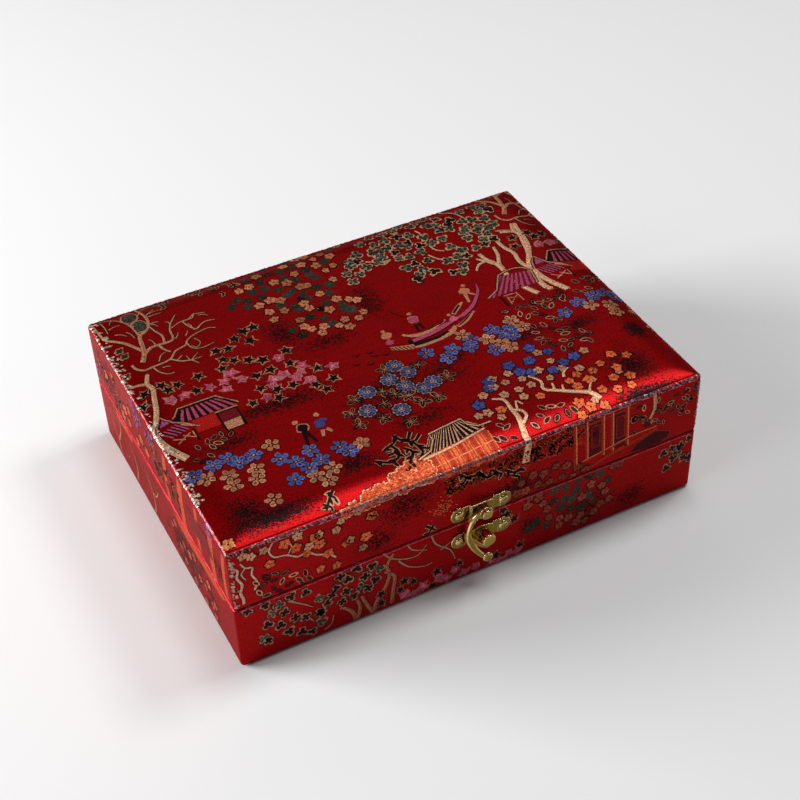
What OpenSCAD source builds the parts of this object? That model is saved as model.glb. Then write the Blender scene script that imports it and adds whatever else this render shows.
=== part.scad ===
// Keepsake box: boards wrapped in brocade, a padded lid on two butt hinges, and a swing hook at the front.
// The box stands on z = 0, centred on the origin, with its front towards -Y. Lengths are in millimetres.

/* [Box] */
// Length over the cloth, left to right
box_length = 200; // [150:1:260]
// Depth over the cloth, front to back
box_depth = 150; // [110:1:200]
// Height of the base, from the table to its rim
base_height = 31.2; // [28:0.1:50]
// Height of the lid, from its rim to its top edge
lid_height = 28.5; // [24:0.1:40]
// Gap between the two rims when the lid is shut
seam_gap = 0.3; // [0.2:0.1:0.5]

/* [Boards] */
// Thickness of the wall boards
wall_board = 5; // [4:0.5:8]
// Thickness of the floor board
floor_board = 4; // [3:0.5:6]
// Thickness of the lid's top board
top_board = 4; // [3:0.5:6]

/* [Cloth and wadding] */
// Thickness of the brocade with its glue
cloth = 0.6; // [0.4:0.1:0.8]
// Width of cloth turned over the rims and glued inside
turn_in = 10; // [6:1:13]
// Width of cloth turned under the floor
turn_under = 12; // [8:1:16]
// Radius of the upright corners over the cloth
corner_round = 1.5; // [1.2:0.1:3]
// Radius of the lid's top edges over the cloth
edge_round = 1.6; // [1.2:0.1:3]
// Width of the flat strip between the top edge and the wadding
edge_strip = 1.2; // [0.8:0.1:3]
// How far the wadding lifts the middle of the lid
wadding_rise = 2.2; // [1:0.1:4]
// Width over which the wadding rolls down to the edge
wadding_roll = 9; // [6:0.5:14]
// Thickness of the paper sheet under the floor
sheet = 0.4; // [0.3:0.1:0.8]
// How far the paper sheet stays inside the outline
sheet_inset = 4; // [2:0.5:7]

/* [Lining] */
// Thickness of the satin-covered lining cards
lining = 1.2; // [0.8:0.1:2]
// How far the lining cards stop short of the rims
lining_drop = 3; // [1:0.5:5]
// Thickness of the floor pad at its crown
floor_pad_rise = 6; // [4:0.5:8]
// Thickness of the pad inside the lid at its crown
lid_pad_rise = 4; // [3:0.5:6]
// Gap between a pad and the lining cards round it
pad_gap = 0.4; // [0.3:0.1:1]

/* [Latch] */
// How far the latch is fixed to the right of the middle
latch_place = 1.2; // [-20:0.1:20]
// Distance between the two screws of a latch plate
screw_spread = 19; // [17:0.1:26]
// Radius of a latch plate's round ends
lobe_r = 3.6; // [3.2:0.1:4]
// Height of a latch plate between its round ends
waist = 6.6; // [5.8:0.1:7.2]
// How far the round ends of the catch plate hang below its post
lobe_drop = 1.6; // [0:0.1:2.5]
// Thickness of the stamped latch plates
plate = 0.8; // [0.6:0.1:1]
// Width of a plate's raised middle
boss_width = 9.6; // [8:0.1:10.5]
// How far the middle is raised
boss_rise = 1; // [0.9:0.1:1.4]
// Height of the hook plate's centre above the lid's rim
hook_plate_up = 4.6; // [4:0.1:7]
// Depth of the catch plate's centre below the base's rim
catch_plate_down = 7.4; // [7.2:0.1:10]
// Thickness of the cast hook
hook_thick = 2.7; // [2:0.1:3.2]
// How far the hook's arm bows to the left
hook_bow = 7.3; // [6.8:0.1:8.5]
// Greatest width of the hook's arm
arm_width = 3.2; // [2.8:0.1:3.8]
// Radius of the knob that ends the tail
knob_r = 2.2; // [1.6:0.1:2.4]
// How far the knob stands out from the hook's face
knob_rise = 0.8; // [0.4:0.1:1.5]
// Radius of the hook's eye
eye_r = 2.9; // [2.8:0.1:3.4]
// Radius of the rivet that the hook turns on
rivet_r = 1; // [0.8:0.05:1.1]
// Radius of the catch post
post_r = 2.7; // [2:0.1:2.7]
// How far the catch post stands out from its plate
post_reach = 5.8; // [5.4:0.1:8]
// Shank radius of the latch screws
screw_r = 0.9; // [0.7:0.05:1.1]
// Head radius of the latch screws
screw_head_r = 2; // [1.6:0.1:2.4]
// Head height of the latch screws
screw_head_h = 0.85; // [0.6:0.05:0.9]

/* [Hinges] */
// Distance of each hinge's middle from the middle of the box
hinge_place = 55; // [30:1:62]
// Length of a hinge
hinge_length = 20; // [16:0.5:26]
// Height of a hinge leaf, measured from the pin
leaf_height = 9; // [8:0.5:12]
// Thickness of a hinge leaf
leaf = 0.8; // [0.6:0.1:1]
// Outer radius of the hinge knuckles
knuckle_r = 1.7; // [1.5:0.05:1.8]
// Distance of the pin from the back of the box
pin_standoff = 2; // [2:0.05:2.3]
// Radius of the hinge pins
pin_r = 0.8; // [0.6:0.05:0.9]
// Distance between the two nails of a leaf
nail_spread = 12; // [10:0.5:12]
// Shank radius of the hinge nails
nail_r = 0.6; // [0.4:0.05:0.7]
// Head radius of the hinge nails
nail_head_r = 1.4; // [1.1:0.1:1.6]
// Head height of the hinge nails
nail_head_h = 0.5; // [0.3:0.05:0.6]

/* [Hidden] */
$fn = 48;

// Running clearance of a pin, rivet or screw in its hole, on the radius
run = 0.05;
// Clearance between moving metal faces
slip = 0.1;
// Overlap of a cutting solid past the face it opens
past = 1;
// Thickness of board left behind the point of a screw and of a nail
behind_screw = 1;
behind_nail = 1.2;

// Heights of the base's layers
floor_z = sheet + cloth;
wall_z = floor_z + floor_board;
base_wall_top = base_height - cloth;
// Heights of the lid's layers
lid_rim = base_height + seam_gap;
lid_edge = lid_rim + lid_height;
lid_wall_z = lid_rim + cloth;
top_board_top = lid_edge - cloth;
top_board_z = top_board_top - top_board;

// How far each layer of the walls lies inside the outline
in_board = cloth;
in_turned = cloth + wall_board;
in_lining = in_turned + cloth;
in_pad = in_lining + lining + pad_gap;

// Where the parts of the latch stand, outwards from the front
boss_top = boss_rise + plate;
hook_back = boss_top + slip;
hook_front = hook_back + hook_thick;
pivot_z = lid_rim + hook_plate_up;
post_z = base_height - catch_plate_down;
reach = pivot_z - post_z;
rivet_head_r = 2.1;
rivet_head_h = 1.3;
tail_r = 1.7;
tail_h = 0.6;
slot_width = 0.5;
post_crown = 0.9;
screw_hold = cloth + wall_board - behind_screw;

// Where the hinges turn
pin_y = box_depth / 2 + pin_standoff;
pin_z = base_height + seam_gap / 2;
knuckles = 5;
knuckle_gap = 0.2;
knuckle_length = (hinge_length - (knuckles - 1) * knuckle_gap) / knuckles;
knuckle_step = 0.3;
leaf_edge = knuckle_r + knuckle_step;
pin_head_r = 1.2;
pin_head_h = 0.5;
nail_drop = (leaf_edge + leaf_height) / 2;
nail_hold = cloth + wall_board - behind_nail;

// Points of a rounded rectangle that lies "inset" inside the box's outline, at height z
corner_steps = 4;
function ring(inset, r, z) = [
    for (q = [0:3], i = [0:corner_steps])
        let (
            a = 90 * q + 90 * i / corner_steps,
            sx = (q == 0 || q == 3) ? 1 : -1,
            sy = (q < 2) ? 1 : -1
        )
        [
            sx * (box_length / 2 - inset - r) + r * cos(a),
            sy * (box_depth / 2 - inset - r) + r * sin(a),
            z
        ]
];

// Solid carried through a list of rings that all have the same number of points, lowest ring first
module loft(rings) {
    n = len(rings[0]);
    m = len(rings);
    points = [for (r = rings, p = r) p];
    sides = [
        for (j = [0:m - 2], i = [0:n - 1])
            let (a = j * n + i, b = j * n + (i + 1) % n)
            each [[a, a + n, b], [b, a + n, b + n]]
    ];
    lower = [for (i = [0:n - 1]) i];
    upper = [for (i = [n - 1:-1:0]) (m - 1) * n + i];
    polyhedron(points, concat([lower], sides, [upper]));
}

// Slab with upright rounded corners, "inset" inside the outline
module slab(inset, r, z0, z1) {
    x = box_length / 2 - inset - r;
    y = box_depth / 2 - inset - r;
    translate([0, 0, z0]) linear_extrude(z1 - z0) union() {
        square([2 * x, 2 * (y + r)], center = true);
        square([2 * (x + r), 2 * y], center = true);
        for (sx = [-1, 1], sy = [-1, 1]) translate([sx * x, sy * y]) circle(r);
    }
}

// Square-cornered block, "inset" inside the outline
module block(inset, z0, z1) {
    translate([-(box_length / 2 - inset), -(box_depth / 2 - inset), z0])
        cube([box_length - 2 * inset, box_depth - 2 * inset, z1 - z0]);
}

// Upright panel on the front (-1) or back (1), its outer face "inset" inside the outline
module long_panel(side, inset, t, ends, z0, z1) {
    y0 = side < 0 ? -box_depth / 2 + inset : box_depth / 2 - inset - t;
    translate([-(box_length / 2 - ends), y0, z0])
        cube([box_length - 2 * ends, t, z1 - z0]);
}

// Upright panel on the left (-1) or right (1), between the front and back panels
module end_panel(side, inset, t, ends, z0, z1) {
    x0 = side < 0 ? -box_length / 2 + inset : box_length / 2 - inset - t;
    translate([x0, -(box_depth / 2 - ends), z0])
        cube([t, box_depth - 2 * ends, z1 - z0]);
}

// Front or back wall board with its two outer corners rounded under the cloth
module wall_long(side, z0, z1) {
    intersection() {
        slab(in_board, corner_round - cloth, z0, z1);
        long_panel(side, in_board, wall_board, in_board, z0, z1);
    }
}

// Places its children on the front face at the latch: x to the right, y up, z outwards
module on_front(z) {
    translate([latch_place, -box_depth / 2, z]) rotate([90, 0, 0]) children();
}

// Places its children on the back face: y up, z outwards
module on_back(x, z) {
    translate([x, box_depth / 2, z]) rotate([90, 0, 180]) children();
}

// Low dome of base radius r and height h
module dome(r, h) {
    big = (r * r + h * h) / (2 * h);
    intersection() {
        translate([0, 0, h - big]) sphere(big);
        cylinder(r = r + past, h = h);
    }
}

// Pilot holes of the latch screws, "drop" below height z, from the front face into the board
module latch_holes(z, drop = 0) {
    on_front(z) for (s = [-1, 1])
        translate([s * screw_spread / 2, -drop, -screw_hold])
            cylinder(r = screw_r + run, h = screw_hold + past);
}

// Pilot holes of the hinge nails, from the back face into the board
module hinge_holes(up) {
    for (x = [-hinge_place, hinge_place], s = [-1, 1])
        on_back(x, pin_z + up * nail_drop)
            translate([s * nail_spread / 2, 0, -nail_hold])
                cylinder(r = nail_r + run, h = nail_hold + past);
}

// Base

module base_bottom_sheet() {
    color([0.16, 0.06, 0.06]) {
        block(sheet_inset, 0, sheet);
        block(turn_under + slip, 0, floor_z);
    }
}

module base_floor_board() {
    color([0.72, 0.58, 0.42]) slab(in_board, corner_round - cloth, floor_z, wall_z);
}

module base_front_board() {
    color([0.75, 0.61, 0.45]) difference() {
        wall_long(-1, wall_z, base_wall_top);
        latch_holes(post_z, lobe_drop);
    }
}

module base_back_board() {
    color([0.75, 0.61, 0.45]) difference() {
        wall_long(1, wall_z, base_wall_top);
        hinge_holes(-1);
    }
}

module base_left_board() {
    color([0.72, 0.58, 0.42])
        end_panel(-1, in_board, wall_board, in_turned, wall_z, base_wall_top);
}

module base_right_board() {
    color([0.72, 0.58, 0.42])
        end_panel(1, in_board, wall_board, in_turned, wall_z, base_wall_top);
}

// One sheet of brocade: round the walls, over the rim, down inside, and turned under the floor
module base_cover() {
    color([0.45, 0.03, 0.05]) {
        difference() {
            slab(0, corner_round, sheet, base_height);
            slab(in_board, corner_round - cloth, floor_z, base_wall_top);
            block(in_lining, base_wall_top - past, base_height + past);
            block(turn_under, sheet - past, floor_z + past);
            latch_holes(post_z, lobe_drop);
            hinge_holes(-1);
        }
        difference() {
            block(in_turned, base_height - turn_in, base_wall_top);
            block(in_lining, base_height - turn_in - past, base_height);
        }
    }
}

module base_front_lining() {
    color([0.85, 0.62, 0.2])
        long_panel(-1, in_lining, lining, in_lining, wall_z, base_height - lining_drop);
}

module base_back_lining() {
    color([0.85, 0.62, 0.2])
        long_panel(1, in_lining, lining, in_lining, wall_z, base_height - lining_drop);
}

module base_left_lining() {
    color([0.83, 0.6, 0.2])
        end_panel(-1, in_lining, lining, in_lining + lining, wall_z, base_height - lining_drop);
}

module base_right_lining() {
    color([0.83, 0.6, 0.2])
        end_panel(1, in_lining, lining, in_lining + lining, wall_z, base_height - lining_drop);
}

// Rings of a pad "rise" thick that starts at z and swells upwards (up = 1) or downwards (up = -1)
pad_edge = 2.5;
pad_foot = 0.8;
pad_crown = 16;
pad_steps = 5;
function pad_rings(z, rise, up) = concat(
    [ring(in_pad + pad_foot, pad_edge, z)],
    [for (i = [0:pad_steps]) let (a = 90 * i / pad_steps) ring(
        in_pad + pad_crown * pow(1 - cos(a), 2),
        pad_edge + pad_crown * pow(1 - cos(a), 2),
        z + up * rise * (0.3 + 0.7 * sin(a))
    )]
);
function reversed(list) = [for (i = [len(list) - 1:-1:0]) list[i]];

module base_floor_pad() {
    color([0.88, 0.66, 0.25]) loft(pad_rings(wall_z, floor_pad_rise, 1));
}

// Lid

module lid_top_board() {
    r = edge_round - cloth;
    color([0.72, 0.58, 0.42]) loft(concat(
        [ring(in_board, corner_round - cloth, top_board_z)],
        edge_rings(in_board, r, top_board_top)
    ));
}

module lid_front_board() {
    color([0.75, 0.61, 0.45]) difference() {
        wall_long(-1, lid_wall_z, top_board_z);
        latch_holes(pivot_z);
    }
}

module lid_back_board() {
    color([0.75, 0.61, 0.45]) difference() {
        wall_long(1, lid_wall_z, top_board_z);
        hinge_holes(1);
    }
}

module lid_left_board() {
    color([0.72, 0.58, 0.42])
        end_panel(-1, in_board, wall_board, in_turned, lid_wall_z, top_board_z);
}

module lid_right_board() {
    color([0.72, 0.58, 0.42])
        end_panel(1, in_board, wall_board, in_turned, lid_wall_z, top_board_z);
}

// Rings that round an edge of radius r below height z, starting "inset" inside the outline
edge_steps = 4;
function edge_rings(inset, r, z) = [
    for (i = [0:edge_steps]) let (a = 90 * i / edge_steps)
        ring(inset + r * (1 - cos(a)), corner_round - inset + r * (1 - cos(a)), z - r + r * sin(a))
];

// Rings of the wadding's rolled edge, over a flat that lies at height z
roll_steps = 6;
roll_inset = edge_round + edge_strip;
function roll_rings(z) = [
    for (i = [0:roll_steps]) let (t = i / roll_steps)
        ring(
            roll_inset + wadding_roll * t,
            corner_round + edge_strip + 0.7 * wadding_roll * t,
            z + wadding_rise * sin(90 * t)
        )
];

module lid_wadding() {
    color([0.93, 0.91, 0.85]) loft(roll_rings(top_board_top));
}

// One sheet of brocade: over the wadding, down the walls, round the rim and up inside
module lid_cover() {
    color([0.55, 0.04, 0.06]) {
        difference() {
            loft(concat(
                [ring(0, corner_round, lid_rim)],
                edge_rings(0, edge_round, lid_edge),
                roll_rings(lid_edge)
            ));
            loft(concat(
                [ring(in_board, corner_round - cloth, lid_wall_z)],
                edge_rings(in_board, edge_round - cloth, top_board_top),
                roll_rings(top_board_top)
            ));
            block(in_lining, lid_rim - past, lid_wall_z + past);
            latch_holes(pivot_z);
            hinge_holes(1);
        }
        difference() {
            block(in_turned, lid_wall_z, lid_rim + turn_in);
            block(in_lining, lid_rim, lid_rim + turn_in + past);
        }
    }
}

module lid_front_lining() {
    color([0.85, 0.62, 0.2])
        long_panel(-1, in_lining, lining, in_lining, lid_rim + lining_drop, top_board_z);
}

module lid_back_lining() {
    color([0.85, 0.62, 0.2])
        long_panel(1, in_lining, lining, in_lining, lid_rim + lining_drop, top_board_z);
}

module lid_left_lining() {
    color([0.83, 0.6, 0.2])
        end_panel(-1, in_lining, lining, in_lining + lining, lid_rim + lining_drop, top_board_z);
}

module lid_right_lining() {
    color([0.83, 0.6, 0.2])
        end_panel(1, in_lining, lining, in_lining + lining, lid_rim + lining_drop, top_board_z);
}

module lid_top_pad() {
    color([0.88, 0.66, 0.25]) loft(reversed(pad_rings(top_board_z, lid_pad_rise, -1)));
}

// Latch

// Stamped plate: two round ends for the screws, "drop" below a raised middle that is hollow behind
module latch_plate(drop = 0) {
    half = screw_spread / 2;
    difference() {
        union() {
            for (s = [-1, 1]) {
                translate([s * half, -drop, 0]) cylinder(r = lobe_r, h = plate);
                linear_extrude(plate) polygon([
                    [0, -waist / 2], [s * half, -waist / 2 - drop],
                    [s * half, waist / 2 - drop], [0, waist / 2]
                ]);
            }
            translate([-boss_width / 2, -waist / 2, 0]) cube([boss_width, waist, boss_top]);
        }
        translate([0, 0, -past]) linear_extrude(boss_rise + past)
            square([boss_width - 2 * plate, waist - 2 * plate], center = true);
        translate([0, 0, -past]) cylinder(r = rivet_r + run, h = boss_top + 2 * past);
        for (s = [-1, 1]) translate([s * half, -drop, -past])
            cylinder(r = screw_r + run, h = plate + 2 * past);
    }
}

// Round-head screws, one at each end of a latch plate
module latch_screws(drop = 0) {
    for (s = [-1, 1]) translate([s * screw_spread / 2, -drop, 0]) {
        difference() {
            translate([0, 0, plate]) dome(screw_head_r, screw_head_h);
            rotate(30 * s)
                translate([-screw_head_r, -slot_width / 2, plate + screw_head_h / 2])
                    cube([2 * screw_head_r, slot_width, screw_head_h]);
        }
        translate([0, 0, -screw_hold]) cylinder(r = screw_r, h = screw_hold + plate);
    }
}

module catch_plate() {
    color([0.62, 0.5, 0.2]) on_front(post_z) latch_plate(lobe_drop);
}

module catch_screws() {
    color([0.7, 0.58, 0.28]) on_front(post_z) latch_screws(lobe_drop);
}

// Turned post with a domed end, riveted into the raised middle of its plate
module catch_post() {
    top = boss_top + post_reach;
    color([0.72, 0.58, 0.24]) on_front(post_z) {
        translate([0, 0, boss_rise - tail_h]) cylinder(r = tail_r, h = tail_h);
        translate([0, 0, boss_rise - tail_h]) cylinder(r = rivet_r, h = plate + tail_h + slip);
        translate([0, 0, boss_top]) cylinder(r = post_r, h = post_reach - post_crown);
        translate([0, 0, top - post_crown]) dome(post_r, post_crown);
    }
}

module hook_plate() {
    color([0.62, 0.5, 0.2]) on_front(pivot_z) latch_plate();
}

module hook_plate_screws() {
    color([0.7, 0.58, 0.28]) on_front(pivot_z) latch_screws();
}

// Rivet through the hook's eye and the raised middle, closed over behind it
module hook_rivet() {
    head_z = hook_front + slip;
    color([0.72, 0.58, 0.24]) on_front(pivot_z) {
        translate([0, 0, boss_rise - tail_h]) cylinder(r = tail_r, h = tail_h);
        translate([0, 0, boss_rise - tail_h])
            cylinder(r = rivet_r, h = head_z - boss_rise + tail_h + slip);
        translate([0, 0, head_z]) cylinder(r = rivet_head_r, h = rivet_head_h / 2);
        translate([0, 0, head_z + rivet_head_h / 2]) dome(rivet_head_r, rivet_head_h / 2);
    }
}

// Courses of the hook's arm with its tail, and of the lip under the post: x as a share of the bow,
// distance below the pivot as a share of the reach, and half width as a share of the arm's width
arm_course = [
    [-0.1, 0, 0.72], [-0.43, 0.04, 0.48], [-0.72, 0.18, 0.39], [-0.94, 0.46, 0.32],
    [-1, 0.73, 0.38], [-0.92, 0.99, 0.5], [-0.74, 1.29, 0.47], [-0.52, 1.54, 0.41],
    [-0.23, 1.79, 0.39], [-0.02, 1.91, 0.41], [0.09, 1.94, 0.41]
];
lip_course = [
    [-0.88, 0.93, 0.3], [-0.61, 1.1, 0.25], [-0.37, 1.28, 0.22], [-0.13, 1.42, 0.2],
    [0.07, 1.5, 0.2]
];
course_steps = 4;

// Point on the smooth curve through a, b, c, d between b (t = 0) and c (t = 1)
function smooth(a, b, c, d, t) =
    0.5 * (2 * b + (c - a) * t + (2 * a - 5 * b + 4 * c - d) * t * t
        + (3 * b - a - 3 * c + d) * t * t * t);
function course_at(list, i) = let (
    p = list[max(0, min(len(list) - 1, i))]
) [p[0] * hook_bow, -p[1] * reach, p[2] * arm_width];
function course(list) = [
    for (i = [0:len(list) - 2], s = [0:course_steps - 1])
        smooth(course_at(list, i - 1), course_at(list, i), course_at(list, i + 1),
            course_at(list, i + 2), s / course_steps),
    course_at(list, len(list) - 1)
];
// Edge of a bar on one side: each point of its course moved square to it by the half width there
function edge(list, side) = [
    for (i = [0:len(list) - 1]) let (
        a = list[max(0, i - 1)],
        b = list[min(len(list) - 1, i + 1)],
        d = [b[0] - a[0], b[1] - a[1]],
        n = [-d[1], d[0]] / norm(d)
    ) [list[i][0], list[i][1]] + side * list[i][2] * n
];
module bar(list) {
    linear_extrude(hook_thick) polygon(concat(edge(list, 1), reversed(edge(list, -1))));
}

// Cast hook: eye, bowed arm, lip under the post and a tail that ends in a knob
module hook() {
    arm = course(arm_course);
    lip = course(lip_course);
    tail_end = arm[len(arm) - 1];
    lip_end = lip[len(lip) - 1];
    color([0.75, 0.6, 0.25]) on_front(pivot_z) translate([0, 0, hook_back]) difference() {
        union() {
            cylinder(r = eye_r, h = hook_thick);
            bar(arm);
            bar(lip);
            translate([tail_end[0], tail_end[1], 0])
                cylinder(r = knob_r, h = hook_thick + knob_rise);
            translate([lip_end[0], lip_end[1], 0]) cylinder(r = lip_end[2], h = hook_thick);
        }
        translate([0, 0, -past]) cylinder(r = rivet_r + run, h = hook_thick + 2 * past);
    }
}

// Hinges

// Knuckle ring number i of a hinge that is centred on x = 0, along X
module knuckle(i) {
    translate([-hinge_length / 2 + i * (knuckle_length + knuckle_gap), 0, 0])
        rotate([0, 90, 0]) cylinder(r = knuckle_r, h = knuckle_length);
}

// Leaf with its knuckles, for the base (up = -1) or the lid (up = 1)
module hinge_leaf(x, up, mine) {
    wall = box_depth / 2;
    low = up < 0 ? pin_z - leaf_height : pin_z + leaf_edge;
    reach_in = leaf_edge - seam_gap / 2;
    translate([x, 0, 0]) difference() {
        union() {
            translate([-hinge_length / 2, wall, low])
                cube([hinge_length, leaf, leaf_height - leaf_edge]);
            for (i = mine) {
                translate([0, pin_y, pin_z]) knuckle(i);
                translate([
                    -hinge_length / 2 + i * (knuckle_length + knuckle_gap),
                    wall,
                    up < 0 ? pin_z - leaf_edge : pin_z + seam_gap / 2
                ]) cube([knuckle_length, leaf, reach_in]);
            }
        }
        translate([-hinge_length / 2 - past, pin_y, pin_z]) rotate([0, 90, 0])
            cylinder(r = pin_r + run, h = hinge_length + 2 * past);
        for (s = [-1, 1])
            translate([s * nail_spread / 2, wall - past, pin_z + up * nail_drop])
                rotate([-90, 0, 0]) cylinder(r = nail_r + run, h = leaf + 2 * past);
    }
}

module hinge_pin(x) {
    half = hinge_length / 2;
    color([0.72, 0.58, 0.24]) translate([x, pin_y, pin_z]) rotate([0, 90, 0]) {
        translate([0, 0, -half - pin_head_h]) cylinder(r = pin_r, h = hinge_length + 2 * pin_head_h);
        translate([0, 0, -half - pin_head_h]) cylinder(r = pin_head_r, h = pin_head_h);
        translate([0, 0, half]) cylinder(r = pin_head_r, h = pin_head_h);
    }
}

module hinge_nails(up) {
    color([0.7, 0.58, 0.28]) for (x = [-hinge_place, hinge_place], s = [-1, 1])
        on_back(x, pin_z + up * nail_drop) translate([s * nail_spread / 2, 0, 0]) {
            translate([0, 0, leaf]) dome(nail_head_r, nail_head_h);
            translate([0, 0, -nail_hold]) cylinder(r = nail_r, h = nail_hold + leaf + slip);
        }
}

module hinge_base_leaf_left() { color([0.66, 0.53, 0.22]) hinge_leaf(-hinge_place, -1, [0, 2, 4]); }
module hinge_base_leaf_right() { color([0.66, 0.53, 0.22]) hinge_leaf(hinge_place, -1, [0, 2, 4]); }
module hinge_lid_leaf_left() { color([0.66, 0.53, 0.22]) hinge_leaf(-hinge_place, 1, [1, 3]); }
module hinge_lid_leaf_right() { color([0.66, 0.53, 0.22]) hinge_leaf(hinge_place, 1, [1, 3]); }
module hinge_pin_left() { hinge_pin(-hinge_place); }
module hinge_pin_right() { hinge_pin(hinge_place); }
module hinge_base_nails() { hinge_nails(-1); }
module hinge_lid_nails() { hinge_nails(1); }

base_bottom_sheet();
base_floor_board();
base_front_board();
base_back_board();
base_left_board();
base_right_board();
base_cover();
base_front_lining();
base_back_lining();
base_left_lining();
base_right_lining();
base_floor_pad();
catch_plate();
catch_post();
catch_screws();
hinge_base_leaf_left();
hinge_base_leaf_right();
hinge_pin_left();
hinge_pin_right();
hinge_base_nails();
lid_top_board();
lid_front_board();
lid_back_board();
lid_left_board();
lid_right_board();
lid_wadding();
lid_cover();
lid_front_lining();
lid_back_lining();
lid_left_lining();
lid_right_lining();
lid_top_pad();
hook_plate();
hook_rivet();
hook_plate_screws();
hinge_lid_leaf_left();
hinge_lid_leaf_right();
hinge_lid_nails();
hook();
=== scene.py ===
"""Brocade keepsake box: cloth covers, woven figure, satin linings and cast brass latch, built over the CAD frame.

Lengths are in millimetres in the row frame until a mesh is made, where they become metres.
A place on the cloth is (u, v): u runs from the left edge of the lid to the right, 0 to 200, and v from
the back edge to the front, 0 to 150. Past those the cloth runs on down the walls.
"""
import math

import bpy
import numpy as np
from mathutils import Matrix, Vector


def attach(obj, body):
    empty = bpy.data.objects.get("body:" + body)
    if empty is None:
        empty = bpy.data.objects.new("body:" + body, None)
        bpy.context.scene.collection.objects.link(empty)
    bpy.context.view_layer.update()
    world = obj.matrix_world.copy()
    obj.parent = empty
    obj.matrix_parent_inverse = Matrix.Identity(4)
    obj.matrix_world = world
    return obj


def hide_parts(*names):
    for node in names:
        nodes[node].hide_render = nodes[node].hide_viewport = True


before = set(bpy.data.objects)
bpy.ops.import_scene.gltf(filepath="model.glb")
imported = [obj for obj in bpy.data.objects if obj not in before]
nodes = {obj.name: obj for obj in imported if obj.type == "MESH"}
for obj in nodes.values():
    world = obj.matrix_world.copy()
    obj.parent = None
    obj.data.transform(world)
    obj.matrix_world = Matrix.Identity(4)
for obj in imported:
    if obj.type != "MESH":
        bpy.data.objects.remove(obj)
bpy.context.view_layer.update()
MM = 0.001
TAU = 2 * math.pi

LONG, DEEP = 200.0, 150.0
BASE_TOP, LID_RIM, LID_EDGE = 31.2, 31.5, 60.0
RISE, ROLL, ROLL_IN = 2.2, 9.9, 1.9
LATCH_X, PIVOT_Z, POST_Z = 1.2, 36.1, 23.8


# Meshes ------------------------------------------------------------------------------------------


def make(name, points, faces, smooth=True, fields=None):
    """A mesh object. points is (n, 3) in mm, faces a list of index arrays, each with one face size,
    and fields holds a value, colour or vector for every point."""
    points = np.asarray(points, float)
    sizes = np.concatenate([np.full(len(f), f.shape[1]) for f in faces])
    corners = np.concatenate([f.ravel() for f in faces]).astype(np.int32)
    mesh = bpy.data.meshes.new(name)
    mesh.vertices.add(len(points))
    mesh.vertices.foreach_set("co", (points * MM).astype(np.float32).ravel())
    mesh.loops.add(len(corners))
    mesh.loops.foreach_set("vertex_index", corners)
    mesh.polygons.add(len(sizes))
    mesh.polygons.foreach_set("loop_start", np.r_[0, np.cumsum(sizes)[:-1]].astype(np.int32))
    mesh.polygons.foreach_set("use_smooth", np.full(len(sizes), smooth))
    mesh.update(calc_edges=True)
    for key, values in (fields or {}).items():
        kind, slot = {1: ("FLOAT", "value"), 3: ("FLOAT_VECTOR", "vector"), 4: ("FLOAT_COLOR", "color")}[
            1 if values.ndim == 1 else values.shape[1]
        ]
        mesh.attributes.new(key, kind, "POINT").data.foreach_set(slot, values.astype(np.float32).ravel())
    mesh.validate()
    obj = bpy.data.objects.new(name, mesh)
    bpy.context.scene.collection.objects.link(obj)
    return obj


def finish_piece(obj, body, material, slot, *stands_for):
    """Gives a piece its material and its body and hides the CAD nodes that it stands for; slot is not used."""
    obj.data.materials.clear()
    obj.data.materials.append(material)
    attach(obj, body)
    if stands_for:
        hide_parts(*stands_for)
    return obj


def grid_faces(rows, columns, first=0, closed=False):
    """Quads of a grid of points laid out row by row. A closed grid joins its last column to its first."""
    wide = columns if closed else columns - 1
    r, c = np.meshgrid(np.arange(rows - 1), np.arange(wide), indexing="ij")
    a, b = r * columns + c, r * columns + (c + 1) % columns
    return first + np.stack([a, b, b + columns, a + columns], -1).reshape(-1, 4)


def shell(rings, flip=False):
    """A closed skin over rings (m, n, 3) with both ends drawn to the middle of their ring."""
    m, n = rings.shape[:2]
    points = np.concatenate([rings.reshape(-1, 3), rings[0].mean(0)[None], rings[-1].mean(0)[None]])
    i = np.arange(n)
    j = (i + 1) % n
    low = np.stack([j, i, np.full(n, m * n)], -1)
    high = np.stack([(m - 1) * n + i, (m - 1) * n + j, np.full(n, m * n + 1)], -1)
    faces = [grid_faces(m, n, closed=True), low, high]
    return points, [f[:, ::-1] if flip else f for f in faces]


def joined(parts):
    """One set of points and faces from several."""
    points, faces, at = [], [], 0
    for p, f in parts:
        points.append(p)
        faces += [x + at for x in f]
        at += len(p)
    return np.concatenate(points), faces


# Cloth on the box --------------------------------------------------------------------------------


def bend(middle, radius, start, stop, steps=6):
    """Points of an arc in the (depth, height) plane."""
    a = np.radians(np.linspace(start, stop, steps + 1))
    return np.stack([middle[0] + radius * np.cos(a), middle[1] + radius * np.sin(a)], -1)


def course_of(points, zero):
    """Length along a path of (depth, height) points, 0 at the point numbered zero, with depth, height and normal."""
    points = np.asarray(points)
    step = np.diff(points, axis=0)
    length = np.r_[0, np.cumsum(np.hypot(*step.T))]
    way = np.gradient(points, length, axis=0)
    way /= np.hypot(*way.T)[:, None]
    return length - length[zero], points[:, 0], points[:, 1], -way[:, 1], way[:, 0]


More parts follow.
